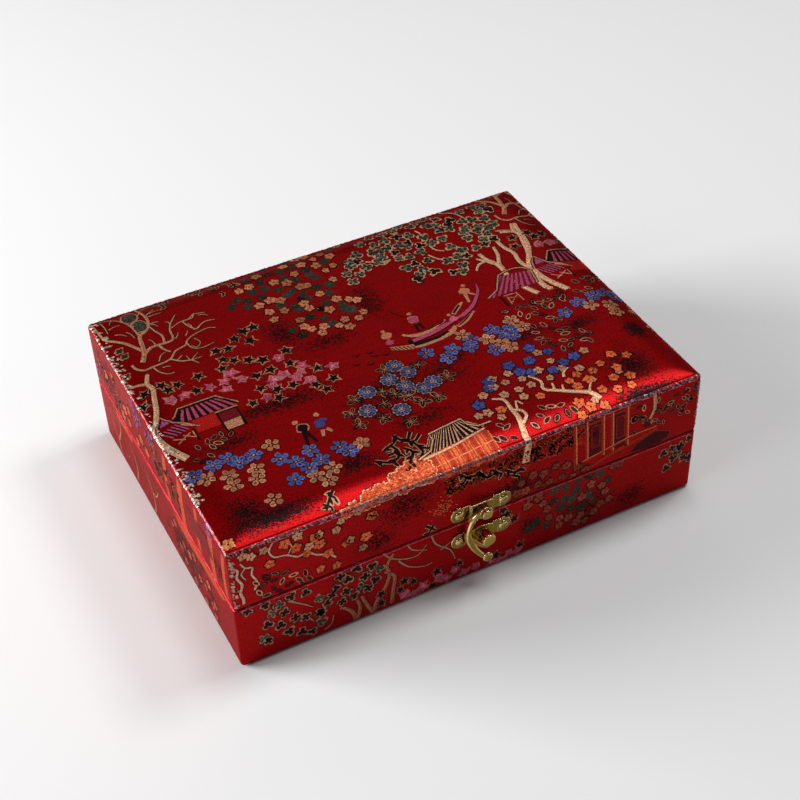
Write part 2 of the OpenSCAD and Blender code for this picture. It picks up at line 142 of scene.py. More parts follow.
def lid_course():
    """From the turned-in end inside the lid, round the rim, up the wall and round the top edge to the strip."""
    low = np.array([[6.2, LID_RIM + 10], [6.2, LID_RIM + 5], [6.2, LID_RIM + 0.6]])
    rim = bend((5.6, LID_RIM + 0.6), 0.6, 0, -90, 4)
    foot = bend((0.9, LID_RIM + 0.9), 0.9, -90, -180, 6)
    wall = np.stack([np.zeros(11), np.linspace(LID_RIM + 0.9, LID_EDGE - 1.6, 13)[1:-1]], -1)
    top = bend((1.6, LID_EDGE - 1.6), 1.6, 180, 90, 12)
    strip = np.array([[1.7, LID_EDGE], [1.8, LID_EDGE], [ROLL_IN, LID_EDGE]])
    path = np.concatenate([low[:-1], rim, foot, wall, top, strip])
    return course_of(path, len(path) - 4 - 6)


def base_course():
    """From the edge turned under the floor, up the wall, over the rim and down inside."""
    under = np.array([[12.0, 0.45], [8.0, 0.45], [3.0, 0.45]])
    foot = bend((1.3, 1.75), 1.3, -90, -180, 6)
    wall = np.stack([np.zeros(11), np.linspace(1.75, BASE_TOP - 0.9, 13)[1:-1]], -1)
    rim = bend((0.9, BASE_TOP - 0.9), 0.9, 180, 90, 8)
    inner = bend((5.6, BASE_TOP - 0.6), 0.6, 90, 0, 4)
    end = np.array([[6.2, BASE_TOP - 5], [6.2, BASE_TOP - 10]])
    path = np.concatenate([under, foot, wall, rim, inner, end])
    return course_of(path, 3 + 7 + 11 + 4)


def top_height(x, y):
    """Height of the padded top: the wadding rises as a quarter sine over the roll, measured as a soft
    least distance from the four sides; then a low crown, long ripples and a crease at its foot."""
    a = np.maximum(LONG / 2 - ROLL_IN - np.abs(x), 1e-6)
    b = np.maximum(DEEP / 2 - ROLL_IN - np.abs(y), 1e-6)
    far = (a**-3 + b**-3) ** (-1 / 3)
    near = np.minimum(a, b)
    crown = 0.5 * (1 - (x / 100) ** 2) * (1 - (y / 75) ** 2)
    ripple = 0.09 * np.sin(x / 13.0 + 0.9 * np.sin(y / 21.0)) * np.sin(y / 17.0 + 0.7 * np.sin(x / 24.0))
    ripple += 0.05 * np.sin((x + 0.6 * y) / 7.3 + 1.1 * np.sin(y / 15.0))
    fade = np.clip((near - 2) / 8, 0, 1)
    groove = -0.05 * np.exp(-((near / 0.7) ** 2))
    return LID_EDGE + RISE * np.sin(np.pi / 2 * np.minimum(far / ROLL, 1)) + (crown + ripple) * fade + groove


def wrap(u, v, lift, course, padded_top):
    """Where the cloth's place (u, v) lies in space. The nearest side of the box gives the way s along the
    course across that side's edge, negative down the wall; the other distance runs along the side, and
    within the corner's radius it turns along an eighth of a circle, so that two sides meet at the mitre."""
    sx, sy = np.minimum(u, LONG - u), np.minimum(v, DEEP - v)
    across = sx < sy
    s, other = np.where(across, sx, sy), np.where(across, sy, sx)
    half = np.where(across, DEEP / 2, LONG / 2)
    length, depth, height, out_d, out_z = course
    inside = padded_top & (s > length[-1])
    last = length[-1] if padded_top else 1e9
    d = np.where(inside, depth[-1] + s - last, np.interp(s, length, depth) + lift * np.interp(s, length, out_d))
    z = np.interp(s, length, height) + lift * np.interp(s, length, out_z)
    up = np.maximum(s, 0)
    c = np.maximum(other - up, 0)
    radius = np.interp(d, [0, 6, 12], [1.5, 0.4, 0.02])
    turn = np.pi / 4 * (1 - np.minimum(c / radius, 1))
    k = np.where(inside, 1, (half - d) / np.maximum(half - up, 1))
    along = d + np.where(c < radius, radius * (1 - np.sin(turn)), c) * k
    deep = d + radius * (1 - np.cos(turn))
    x, y = np.where(across, deep, along), np.where(across, along, deep)
    x, y = np.where(u < LONG / 2, x - LONG / 2, LONG / 2 - x), np.where(v < DEEP / 2, DEEP / 2 - y, y - DEEP / 2)
    if padded_top:
        z = np.where(inside, top_height(x, y) + lift, z)
    return np.stack([x, y, z], -1)


def edge_lines(length, course, first):
    """Grid lines across the padded top: close at the edges and the roll, 2 mm apart over the middle."""
    top = course[0][course[0] >= 0]
    near = np.r_[top, top[-1] + np.r_[0.4, 0.8, 1.3, np.arange(2, 11, 1.0)]]
    middle = np.linspace(near[-1], length - near[-1], int((length - 2 * near[-1]) / first) + 1)
    return np.r_[near, middle[1:-1], (length - near)[::-1]]


def side_lines(length):
    """Lines along a wall: close at the corners, 4 mm apart between them."""
    near = np.array([0, 0.35, 0.7, 1.05, 1.5, 3.0])
    middle = np.linspace(3, length - 3, int(length / 4))
    return np.r_[near, middle[1:-1], (length - near)[::-1]]


def round_the_box(us, vs):
    """The places (u, v) round the box's outline, and which way leads off it, from the back left corner."""
    n, m = len(us) - 1, len(vs) - 1
    zero, one = np.zeros, np.ones
    u = np.r_[us[:-1], LONG * one(m), us[:0:-1], zero(m)]
    v = np.r_[zero(n), vs[:-1], DEEP * one(n), vs[:0:-1]]
    du = np.r_[zero(n), one(m), zero(n), -one(m)]
    dv = np.r_[-one(n), zero(m), one(n), zero(m)]
    du[0], dv[0], du[n], dv[n], du[n + m], dv[n + m], du[2 * n + m], dv[2 * n + m] = 0, -1, 0, -1, 0, 1, 0, 1
    return u, v, du, dv


def cover_ground(course, padded_top):
    """Points (u, v) and faces of a cover's ground: the box's outline, moved straight out for the rings down
    the walls and drawn in evenly for the rings over the rim, and for the lid a grid over the top."""
    if padded_top:
        us, vs = edge_lines(LONG, course, 2), edge_lines(DEEP, course, 2)
    else:
        us, vs = side_lines(LONG), side_lines(DEEP)
    u, v, du, dv = round_the_box(us, vs)
    s = course[0][::-1]
    if padded_top:
        s = s[s < 0]
        flat = np.stack(np.meshgrid(us, vs), -1).reshape(-1, 2)
        rows, columns = len(vs), len(us)
        number = np.arange(rows * columns).reshape(rows, columns)
        outline = np.r_[number[0, :-1], number[:-1, -1], number[-1, :0:-1], number[:0:-1, 0]]
        faces = [grid_faces(rows, columns)[:, ::-1]]
    else:
        flat, faces = np.zeros((0, 2)), []
    n = len(u)
    within, down = np.maximum(s, 0)[:, None], np.minimum(s, 0)
    across, back = within + (LONG - 2 * within) * u / LONG, within + (DEEP - 2 * within) * v / DEEP
    walls = np.stack([across - np.outer(down, du), back - np.outer(down, dv)], -1).reshape(-1, 2)
    skirt = grid_faces(len(s), n, len(flat), True)
    if padded_top:
        i, j = np.arange(n), (np.arange(n) + 1) % n
        faces.append(np.stack([outline[i], outline[j], len(flat) + j, len(flat) + i], -1))
    faces.append(skirt)
    return np.concatenate([flat, walls]), faces


def painted_edge_highlight(places, tint, padded_top):
    """Paints a highlight along the cloth's bend, where the edge catches the light: a pale tone blended in as a bell
    curve across the edge, broken up along it by two wandering sines.
    """
    u, v = places[:, 0], places[:, 1]
    s = np.minimum(np.minimum(u, LONG - u), np.minimum(v, DEEP - v))
    along = np.where(np.minimum(u, LONG - u) < np.minimum(v, DEEP - v), v, u)
    broken = np.clip(0.55 + 0.3 * np.sin(1.9 * along + np.sin(0.31 * along)) + 0.3 * np.sin(4.7 * along + 2 * np.sin(0.83 * along)), 0, 1)
    wide, most = (0.45, 0.5) if padded_top else (0.3, 0.5)
    share = most * broken * np.exp(-((s / wide) ** 2))
    # colour of the painted highlight: grey-pink on the lid's top edges, bright red on the base's rim
    pale = np.array((0.55, 0.28, 0.32) if padded_top else (0.80, 0.07, 0.11))
    return tint + share[:, None] * (pale - tint)


# Woven figure ------------------------------------------------------------------------------------

TAN, CREAM, GOLD = (0.50, 0.235, 0.125), (0.64, 0.38, 0.22), (0.58, 0.21, 0.095)
INK, MOSS, GREEN, PALE = (0.010, 0.004, 0.005), (0.030, 0.036, 0.026), (0.075, 0.10, 0.065), (0.19, 0.25, 0.17)
PINK, ROSE, MAUVE = (0.46, 0.07, 0.14), (0.60, 0.15, 0.22), (0.36, 0.09, 0.26)
BLUE, SKY, NAVY = (0.045, 0.065, 0.23), (0.11, 0.15, 0.38), (0.018, 0.02, 0.075)
ORANGE, FLAME, SCARLET = (0.62, 0.12, 0.035), (0.76, 0.24, 0.09), (0.45, 0.012, 0.010)
EMBER, RUST, DARK = (0.33, 0.030, 0.010), (0.24, 0.05, 0.026), (0.024, 0.003, 0.004)

rng = np.random.default_rng(11)


class Figure:
    """Coloured threads of one cover as loose triangles on the cloth, each with a colour and a lift."""

    def __init__(self):
        self.tris, self.colours, self.lifts = [], [], []

    def add(self, tris, colour, lift):
        """tris is (n, 3, 2) in mm on the cloth; colour is one colour or one for each triangle."""
        self.tris.append(tris)
        self.colours.append(np.broadcast_to(np.asarray(colour, float), (len(tris), 3)))
        self.lifts.append(np.full(len(tris), float(lift)))

    def fans(self, centres, loops, colour, lift):
        """Fills each closed loop (k, n, 2) from its centre (k, 2)."""
        after = np.roll(loops, -1, 1)
        middle = np.broadcast_to(centres[:, None], loops.shape)
        tris = np.stack([middle, loops, after], 2).reshape(-1, 3, 2)
        colour = np.asarray(colour, float)
        if colour.ndim == 2:
            colour = np.repeat(colour, loops.shape[1], 0)
        self.add(tris, colour, lift)

    def blades(self, centres, radius, points, sharp, turn, colour, lift, stretch=1.0, ragged=0.08):
        """Stars, leaves and petals. For a star the radius falls by the share sharp at every second point; a
        negative sharp gives lobes, where it falls towards the clefts as a sine to the power 0.75. turn
        sets the angle and stretch the length of the first axis."""
        centres = np.atleast_2d(np.asarray(centres, float))
        k, n = len(centres), points * ((6 if points > 4 else 4) if sharp < 0 else 2)
        a = TAU * np.arange(n) / n
        if sharp >= 0:
            wave = np.where(np.arange(n) % 2 == 0, 1.0, 1 - sharp)
        else:
            wave = 1 + sharp * (1 - np.abs(np.sin(points * a / 2)) ** 0.75)
        radius = np.broadcast_to(np.asarray(radius, float), (k,))[:, None]
        turn = np.broadcast_to(np.asarray(turn, float), (k,))[:, None]
        r = radius * wave * (1 + ragged * rng.standard_normal((k, n)))
        x, y = r * np.cos(a) * stretch, r * np.sin(a)
        loops = np.stack([x * np.cos(turn) - y * np.sin(turn), x * np.sin(turn) + y * np.cos(turn)], -1)
        self.fans(centres, centres[:, None] + loops, colour, lift)

    def almonds(self, centres, length, width, turn, colour, lift, n=10):
        """Pointed leaves: half the length times the cosine along, half the width times the sine to the power
        1.5 across."""
        centres = np.atleast_2d(np.asarray(centres, float))
        a = TAU * np.arange(n) / n
        turn = np.broadcast_to(np.asarray(turn, float), (len(centres),))[:, None]
        size = (1 + 0.12 * rng.standard_normal((len(centres), 1))) / 2
        x = length * size * np.cos(a)
        y = width * size * np.sign(np.sin(a)) * np.abs(np.sin(a)) ** 1.5
        loops = np.stack([x * np.cos(turn) - y * np.sin(turn), x * np.sin(turn) + y * np.cos(turn)], -1)
        self.fans(centres, centres[:, None] + loops, colour, lift)

    def edged(self, centres, radius, points, sharp, turn, fill, edge=TAN, border=0.45, **more):
        """A filled shape on a slightly larger one, which shows round it as its outline."""
        centres = np.atleast_2d(np.asarray(centres, float))
        more.setdefault("ragged", 0.05)
        self.blades(centres, np.asarray(radius) + border, points, sharp * 0.82, turn, edge, 0.045, **more)
        self.blades(centres, radius, points, sharp, turn, fill, 0.085, **more)

    def ribbon(self, path, widths, colour, lift, smooth=3):
        """A tapered band: points carried along a smooth path, each moved square to it by half the width."""
        path, widths = curve(path, widths, smooth)
        way = np.gradient(path, axis=0)
        way /= np.maximum(np.hypot(*way.T), 1e-9)[:, None]
        side = np.stack([-way[:, 1], way[:, 0]], -1) * widths[:, None] / 2
        a, b = path + side, path - side
        one = np.stack([a[:-1], b[:-1], b[1:]], 1)
        two = np.stack([a[:-1], b[1:], a[1:]], 1)
        self.add(np.concatenate([one, two]), colour, lift)

    def branch(self, path, start, end, colour=TAN, edge=DARK, border=0.7, lift=0.05):
        """A limb: a tapered band on a darker, wider one, with a paler strand along its lit side and warmer
        flecks of bark."""
        path = np.asarray(path, float)
        w = np.linspace(start, end, len(path))
        self.ribbon(path, w + border, edge, lift - 0.02)
        self.ribbon(path, w, colour, lift)
        if start > 0.55:
            light = np.clip(np.asarray(colour) * 1.35 + 0.02, 0, 0.9)
            self.ribbon(path + (-0.2 * w[:, None]) * (0.9, 0.4), w * 0.3, light, lift + 0.02)
        smooth, widths = curve(path, w, 6)
        some = rng.random(len(smooth)) < 0.4
        spots = smooth[some] + (rng.random((some.sum(), 2)) - 0.5) * widths[some, None] * 0.8
        if len(spots) and start > 0.9:
            self.dots(spots, widths[some] * 0.3, np.asarray(colour) * (0.8, 0.4, 0.35), lift + 0.03)

    def patch(self, corners, colour, lift, edge=None, border=0.5):
        """A filled polygon with straight sides, seen as a fan from its middle, with an outline if it has an edge."""
        corners = np.asarray(corners, float)
        self.fans(corners.mean(0)[None], corners[None], colour, lift)
        if edge is not None:
            loop = np.concatenate([corners, corners[:1]])
            for p, q in zip(loop[:-1], loop[1:]):
                self.ribbon([p, q], [border, border], edge, lift + 0.03, smooth=1)

    def dots(self, centres, sizes, colour=INK, lift=0.03):
        """Shading stitches: small lozenges, longer along the twill."""
        k = len(centres)
        a = 0.6 + 0.3 * rng.standard_normal(k)
        sizes = np.asarray(sizes)[:, None]
        long = np.stack([np.cos(a), np.sin(a)], -1) * sizes * 0.8
        short = np.stack([-np.sin(a), np.cos(a)], -1) * sizes * 0.45
        p = [centres + long, centres + short, centres - long, centres - short]
        self.add(np.concatenate([np.stack([p[0], p[1], p[2]], 1), np.stack([p[0], p[2], p[3]], 1)]), colour, lift)

    def cloud(self, u, v, ru, rv, count, size=0.46):
        """A drift of shading stitches, thick in its middle and thinning out as a bell curve."""
        count = int(count * 1.9)
        at = np.stack([u + ru * 0.5 * rng.standard_normal(count), v + rv * 0.5 * rng.standard_normal(count)], -1)
        self.dots(at, size * (0.7 + 0.6 * rng.random(count)))

    def painted_edge_glints(self, count, spread=0.3):
        """Painted highlight along the four top edges: pale and pink lozenges, with dark and greyish ones among them, at
        random places by the bend, a third as bright on the left edge.
        """
        side = rng.choice(4, count, p=(0.4, 0.2, 0.27, 0.13))
        t, s = rng.random(count), spread * rng.standard_normal(count) - 0.1
        u = np.choose(side, [t * LONG, LONG - s, t * LONG, s])
        v = np.choose(side, [DEEP - s, t * DEEP, s, t * DEEP])
        tones = np.array([(0.56, 0.48, 0.47), (0.60, 0.30, 0.33), (0.03, 0.006, 0.01), (0.36, 0.27, 0.29), (0.50, 0.42, 0.42)])
        for tone, some in zip(tones, np.array_split(np.arange(count), 5)):
            dim = np.where(side[some] == 3, 0.3, 1.0)[:, None] * tone
            self.dots(np.stack([u, v], -1)[some], 0.4 + 0.5 * rng.random(len(some)), np.concatenate([dim, dim]), 0.16)

    def painted_rim_highlight(self, u, v, turn, colour, fall=0.55):
        """Painted highlight just below an edge, where its bend catches the light: thin bright almonds laid along it."""
        k = len(u)
        at = np.stack([u, v], -1) + fall * np.array((-math.sin(turn), math.cos(turn))) * (0.8 + 0.4 * rng.random((k, 1)))
        self.almonds(at, 2.6, 0.42, turn, shades(colour, k, 0.2), 0.12, 6)

    def corner_line(self, u, low, high, count, colour, spread):
        """Paler threads scattered down an upright corner."""
        at = np.stack([u + spread * rng.standard_normal(count), low + (high - low) * rng.random(count)], -1)
        self.dots(at, 0.6 + 0.9 * rng.random(count), shades(colour, 2 * count, 0.3), 0.14)

    def cut(self, low_u, high_u, low_v, high_v):
        """Keeps the threads whose middle lies on this part of the cloth, and returns their rows."""
        t, c, h = np.concatenate(self.tris), np.concatenate(self.colours), np.concatenate(self.lifts)
        m = t.mean(1)
        keep = (m[:, 0] > low_u) & (m[:, 0] < high_u) & (m[:, 1] > low_v) & (m[:, 1] < high_v)
        return t[keep], c[keep], h[keep]


def curve(path, widths, steps):
    """A Catmull-Rom curve through the points of a path, with its widths."""
    p, w = np.asarray(path, float), np.asarray(widths, float)
    if steps <= 1 or len(p) < 3:
        return p, w
    full = np.concatenate([np.c_[p, w][:1], np.c_[p, w], np.c_[p, w][-1:]])
    t = (np.arange(steps) / steps)[None, :, None]
    a, b, c, d = (full[i : len(full) - 3 + i, None] for i in range(4))
    out = 0.5 * (2 * b + (c - a) * t + (2 * a - 5 * b + 4 * c - d) * t**2 + (3 * b - a - 3 * c + d) * t**3)
    out = np.concatenate([out.reshape(-1, 3), full[-1:]])
    return out[:, :2], out[:, 2]


def shades(base, count, spread=0.25):
    """The same colour with some threads lighter and some darker."""
    return np.clip(np.asarray(base) * (1 + spread * rng.standard_normal((count, 1))), 0.003, 0.95)


def stars(f, places, fill=INK, edge=TAN, size=2.75):
    places = np.asarray(places, float)
    k = len(places)
    turn, r = rng.random(k) * TAU, size * (0.88 + 0.24 * rng.random(k))
    f.blades(places, r + 0.75, 5, 0.5, turn, DARK, 0.03, ragged=0.06)
    f.edged(places, r, 5, 0.56, turn, fill, edge, border=0.5, ragged=0.1)


def pink_stars(f, places):
    places = np.asarray(places, float)
    k = len(places)
    turn, r = rng.random(k) * TAU, 2.75 * (0.85 + 0.3 * rng.random(k))
    f.edged(places, r, 5, 0.48, turn, shades(PINK, k, 0.2), (0.50, 0.20, 0.16), border=0.35, ragged=0.16)
    f.blades(places, r * 0.62, 5, 0.62, turn + 0.2, shades(ROSE, k, 0.25), 0.11, ragged=0.3)
    f.dots(places + (rng.random((k, 2)) - 0.5) * 2.2, 0.5 + 0.2 * rng.random(k), (0.20, 0.02, 0.05), 0.13)


def ivy(f, places, dark_share=0.3, size=2.35, edge=CREAM):
    """Leaves with three or four lobes and a pale outline, some dark, some mottled green."""
    places = np.asarray(places, float)
    k = len(places)
    turn, r = rng.random(k) * TAU, size * (0.88 + 0.26 * rng.random(k))
    dark, three = rng.random(k) < dark_share, rng.random(k) < 0.7
    fill = np.where(dark[:, None], np.array(INK), shades(MOSS, k, 0.3))
    for points, some in ((3, three), (4, ~three)):
        f.blades(places[some], r[some] + 0.95, points, -0.42, turn[some], DARK, 0.03, ragged=0.05)
        f.edged(places[some], r[some], points, -0.58, turn[some], fill[some], edge, border=0.62, ragged=0.08)
    green, turn, r = places[~dark], turn[~dark], r[~dark]
    for i in range(3):
        a = turn + TAU * i / 3 + 0.2
        lobe = green + 0.42 * r[:, None] * np.stack([np.cos(a), np.sin(a)], -1)
        f.blades(lobe, r * 0.26, 3, -0.2, a, shades(GREEN if i else PALE, len(green), 0.35), 0.11, stretch=1.5, ragged=0.2)


def tufts(f, places, green=MOSS, size=2.35):
    """Round leaf clumps of the dark bush: six lobes with a few lighter stitches."""
    places = np.asarray(places, float)
    k = len(places)
    turn, r = rng.random(k) * TAU, size * (0.85 + 0.3 * rng.random(k))
    f.blades(places, r, 6, -0.32, turn, shades(green, k, 0.35), 0.05, ragged=0.12)
    for i in range(5):
        spot = places + (rng.random((k, 2)) - 0.5) * 3.0
        f.dots(spot, 0.4 + 0.3 * rng.random(k), shades((0.10, 0.13, 0.085) if i % 2 else (0.05, 0.055, 0.04), 2 * k, 0.4), 0.09)


def posies(f, places, colour=FLAME, size=2.2, middle=DARK):
    """Small flowers with five round petals, a dark outline and darker clefts between the petals."""
    places = np.asarray(places, float)
    k = len(places)
    colour = np.asarray(colour)
    turn, r = rng.random(k) * TAU, size * (0.85 + 0.3 * rng.random(k))
    tone = shades(colour, k, 0.16)
    f.blades(places, r + 0.5, 5, -0.25, turn, DARK, 0.04, ragged=0.05)
    f.blades(places, r, 5, -0.42, turn, tone, 0.09, ragged=0.09)
    for i in range(5):
        a = turn + TAU * i / 5
        petal = places + 0.55 * r[:, None] * np.stack([np.cos(a), np.sin(a)], -1)
        f.almonds(petal, 0.62 * size, 0.32 * size, a, np.clip(tone * (1.3 if i % 2 else 0.62), 0, 0.9), 0.11, 6)
    f.blades(places, r * 0.16, 3, -0.1, turn, middle, 0.13)


def blossoms(f, places, colour=SKY, core=BLUE, centre=TAN, size=2.25, petal=1.2):
    """Five round petals set apart round a small middle, each with a paler rim and a darker core."""
    places = np.asarray(places, float)
    k = len(places)
    turn = rng.random(k) * TAU
    for i in range(5):
        a = turn + TAU * i / 5
        at = places + size * (0.92 + 0.16 * rng.random(k))[:, None] * np.stack([np.cos(a), np.sin(a)], -1)
        f.blades(at, petal + 0.3, 3, -0.06, a, DARK, 0.035, stretch=1.1, ragged=0.05)
        f.blades(at, petal, 3, -0.08, a, shades(colour, k, 0.2), 0.08, stretch=1.15, ragged=0.1)
        f.blades(at, petal * 0.55, 3, -0.1, a, shades(core, k, 0.25), 0.1, stretch=1.3, ragged=0.15)
    f.blades(places, 0.5, 3, -0.1, turn, centre, 0.09)


def tan_blossoms(f, places):
    blossoms(f, places, TAN, (0.42, 0.14, 0.06), GOLD)


def daisies(f, places, size=3.75):
    """Round flowers: a toothed pale rim, a ring of blue petals with pale gaps, and a ringed eye."""
    places = np.asarray(places, float)
    k = len(places)
    turn = rng.random(k) * TAU
    f.blades(places, size + 0.6, 10, -0.12, turn, INK, 0.035, ragged=0.03)
    f.blades(places, size, 10, -0.22, turn, (0.42, 0.26, 0.18), 0.05, ragged=0.03)
    f.blades(places, size * 0.86, 10, -0.2, turn, INK, 0.06, ragged=0.03)
    for i in range(10):
        a = turn + TAU * i / 10
        at = places + 0.6 * size * np.stack([np.cos(a), np.sin(a)], -1)
        f.blades(at, 0.7, 3, -0.1, a, shades((0.055, 0.075, 0.20), k, 0.3), 0.08, stretch=1.7, ragged=0.12)
        f.almonds(at, 1.9, 0.4, a, shades(SKY, k, 0.3), 0.1, 6)
        out = places + 0.33 * size * np.stack([np.cos(a + 0.31), np.sin(a + 0.31)], -1)
        f.almonds(out, 1.4, 0.4, a + 0.31, INK, 0.1, 6)
    f.blades(places, 1.3, 6, -0.1, turn, (0.50, 0.33, 0.20), 0.12)
    f.blades(places, 0.92, 6, -0.1, turn, NAVY, 0.14)
    f.blades(places, 0.45, 6, -0.1, turn, CREAM, 0.16)


def leaf_tufts(f, places, size=3.1):
    """Dark pointed leaves, edged and veined in tan, that stand round the daisies."""
    for p in np.asarray(places, float):
        start = rng.random() * TAU
        for i in range(5):
            a = start + TAU * i / 5 + 0.25 * rng.standard_normal()
            way = np.array([math.cos(a), math.sin(a)])
            f.almonds([p + way * size * 0.6], size * 1.15, size * 0.66, a, (0.40, 0.2, 0.1), 0.045)
            f.almonds([p + way * size * 0.6], size * 1.06, size * 0.55, a, INK, 0.07)
            f.ribbon([p, p + way * size * 0.75], [0.26, 0.1], TAN, 0.09, 1)


def seeds(f, places, colour=TAN, size=1.0, fill=(0.06, 0.003, 0.005)):
    """Small pointed leaves drawn as outlines round a dark middle."""
    places = np.asarray(places, float)
    k = len(places)
    turn = 0.9 + 0.9 * rng.standard_normal(k)
    f.almonds(places, 4.4 * size, 2.5 * size, turn, DARK, 0.035)
    f.almonds(places, 3.8 * size, 2.0 * size, turn, shades(colour, k, 0.25), 0.06)
    f.almonds(places, 3.0 * size, 1.4 * size, turn, fill, 0.09)


def coral(f, strokes, width=1.0, edge=TAN):
    """Dark branching sprigs: each stroke carries pointed buds in turn on both sides, and one
    pale outline goes round the whole sprig."""
    buds, angles = [], []
    for s in strokes:
        s = np.asarray(s, float)
        fine = curve(s, np.ones(len(s)), 3)[0]
        way = np.gradient(fine, axis=0)
        lean = np.arctan2(way[:, 1], way[:, 0]) + np.where(np.arange(len(fine)) % 4 < 2, 1.0, -1.0)
        pick = np.arange(1, len(fine), 2)
        buds.append((fine + 0.8 * width * np.stack([np.cos(lean), np.sin(lean)], -1))[pick])
        angles.append(lean[pick])
    buds, angles = np.concatenate(buds), np.concatenate(angles) + 0.2 * rng.standard_normal(sum(map(len, angles)))
    for grow, tone, lift in ((0.6, DARK, 0.03), (0.36, edge, 0.045), (0.0, INK, 0.085)):
        for s in strokes:
            f.ribbon(s, np.linspace(width, width * 0.75, len(s)) + 2 * grow, tone, lift)
        f.almonds(buds, 2.5 * width + 2 * grow, 1.0 * width + 2 * grow, angles, tone, lift, 8)


def striped_roof(f, outline, low, high, stripes, colour, gap=INK, edge=TAN, share=0.5):
    """A roof: bands between a line of points along its foot and one along its top, in turn in two colours,
    where share is the coloured band's part of the width, and an edge line in a darker one."""
    low, high = np.asarray(low, float), np.asarray(high, float)
    t = (np.repeat(np.arange(stripes), 2) + np.tile([0, share], stripes)) / (stripes - 1 + share)
    a = np.stack([np.interp(t, np.linspace(0, 1, len(low)), low[:, i]) for i in (0, 1)], -1)
    b = np.stack([np.interp(t, np.linspace(0, 1, len(high)), high[:, i]) for i in (0, 1)], -1)
    one = np.stack([a[:-1], b[:-1], b[1:]], 1)
    two = np.stack([a[:-1], b[1:], a[1:]], 1)
    which = np.arange(2 * stripes - 1) % 2 == 0
    for mask, tone in ((which, colour), (~which, gap)):
        f.add(np.concatenate([one[mask], two[mask]]), tone, 0.07)
    line = np.asarray(outline, float)
    f.ribbon(line, np.full(len(line), 1.6), INK, 0.09, 1)
    f.ribbon(line, np.full(len(line), 0.7), edge, 0.12, 1)


def at(places, du=0.0, dv=0.0):
    """Places moved over the cloth."""
    return np.asarray(places, float) + (du, dv)


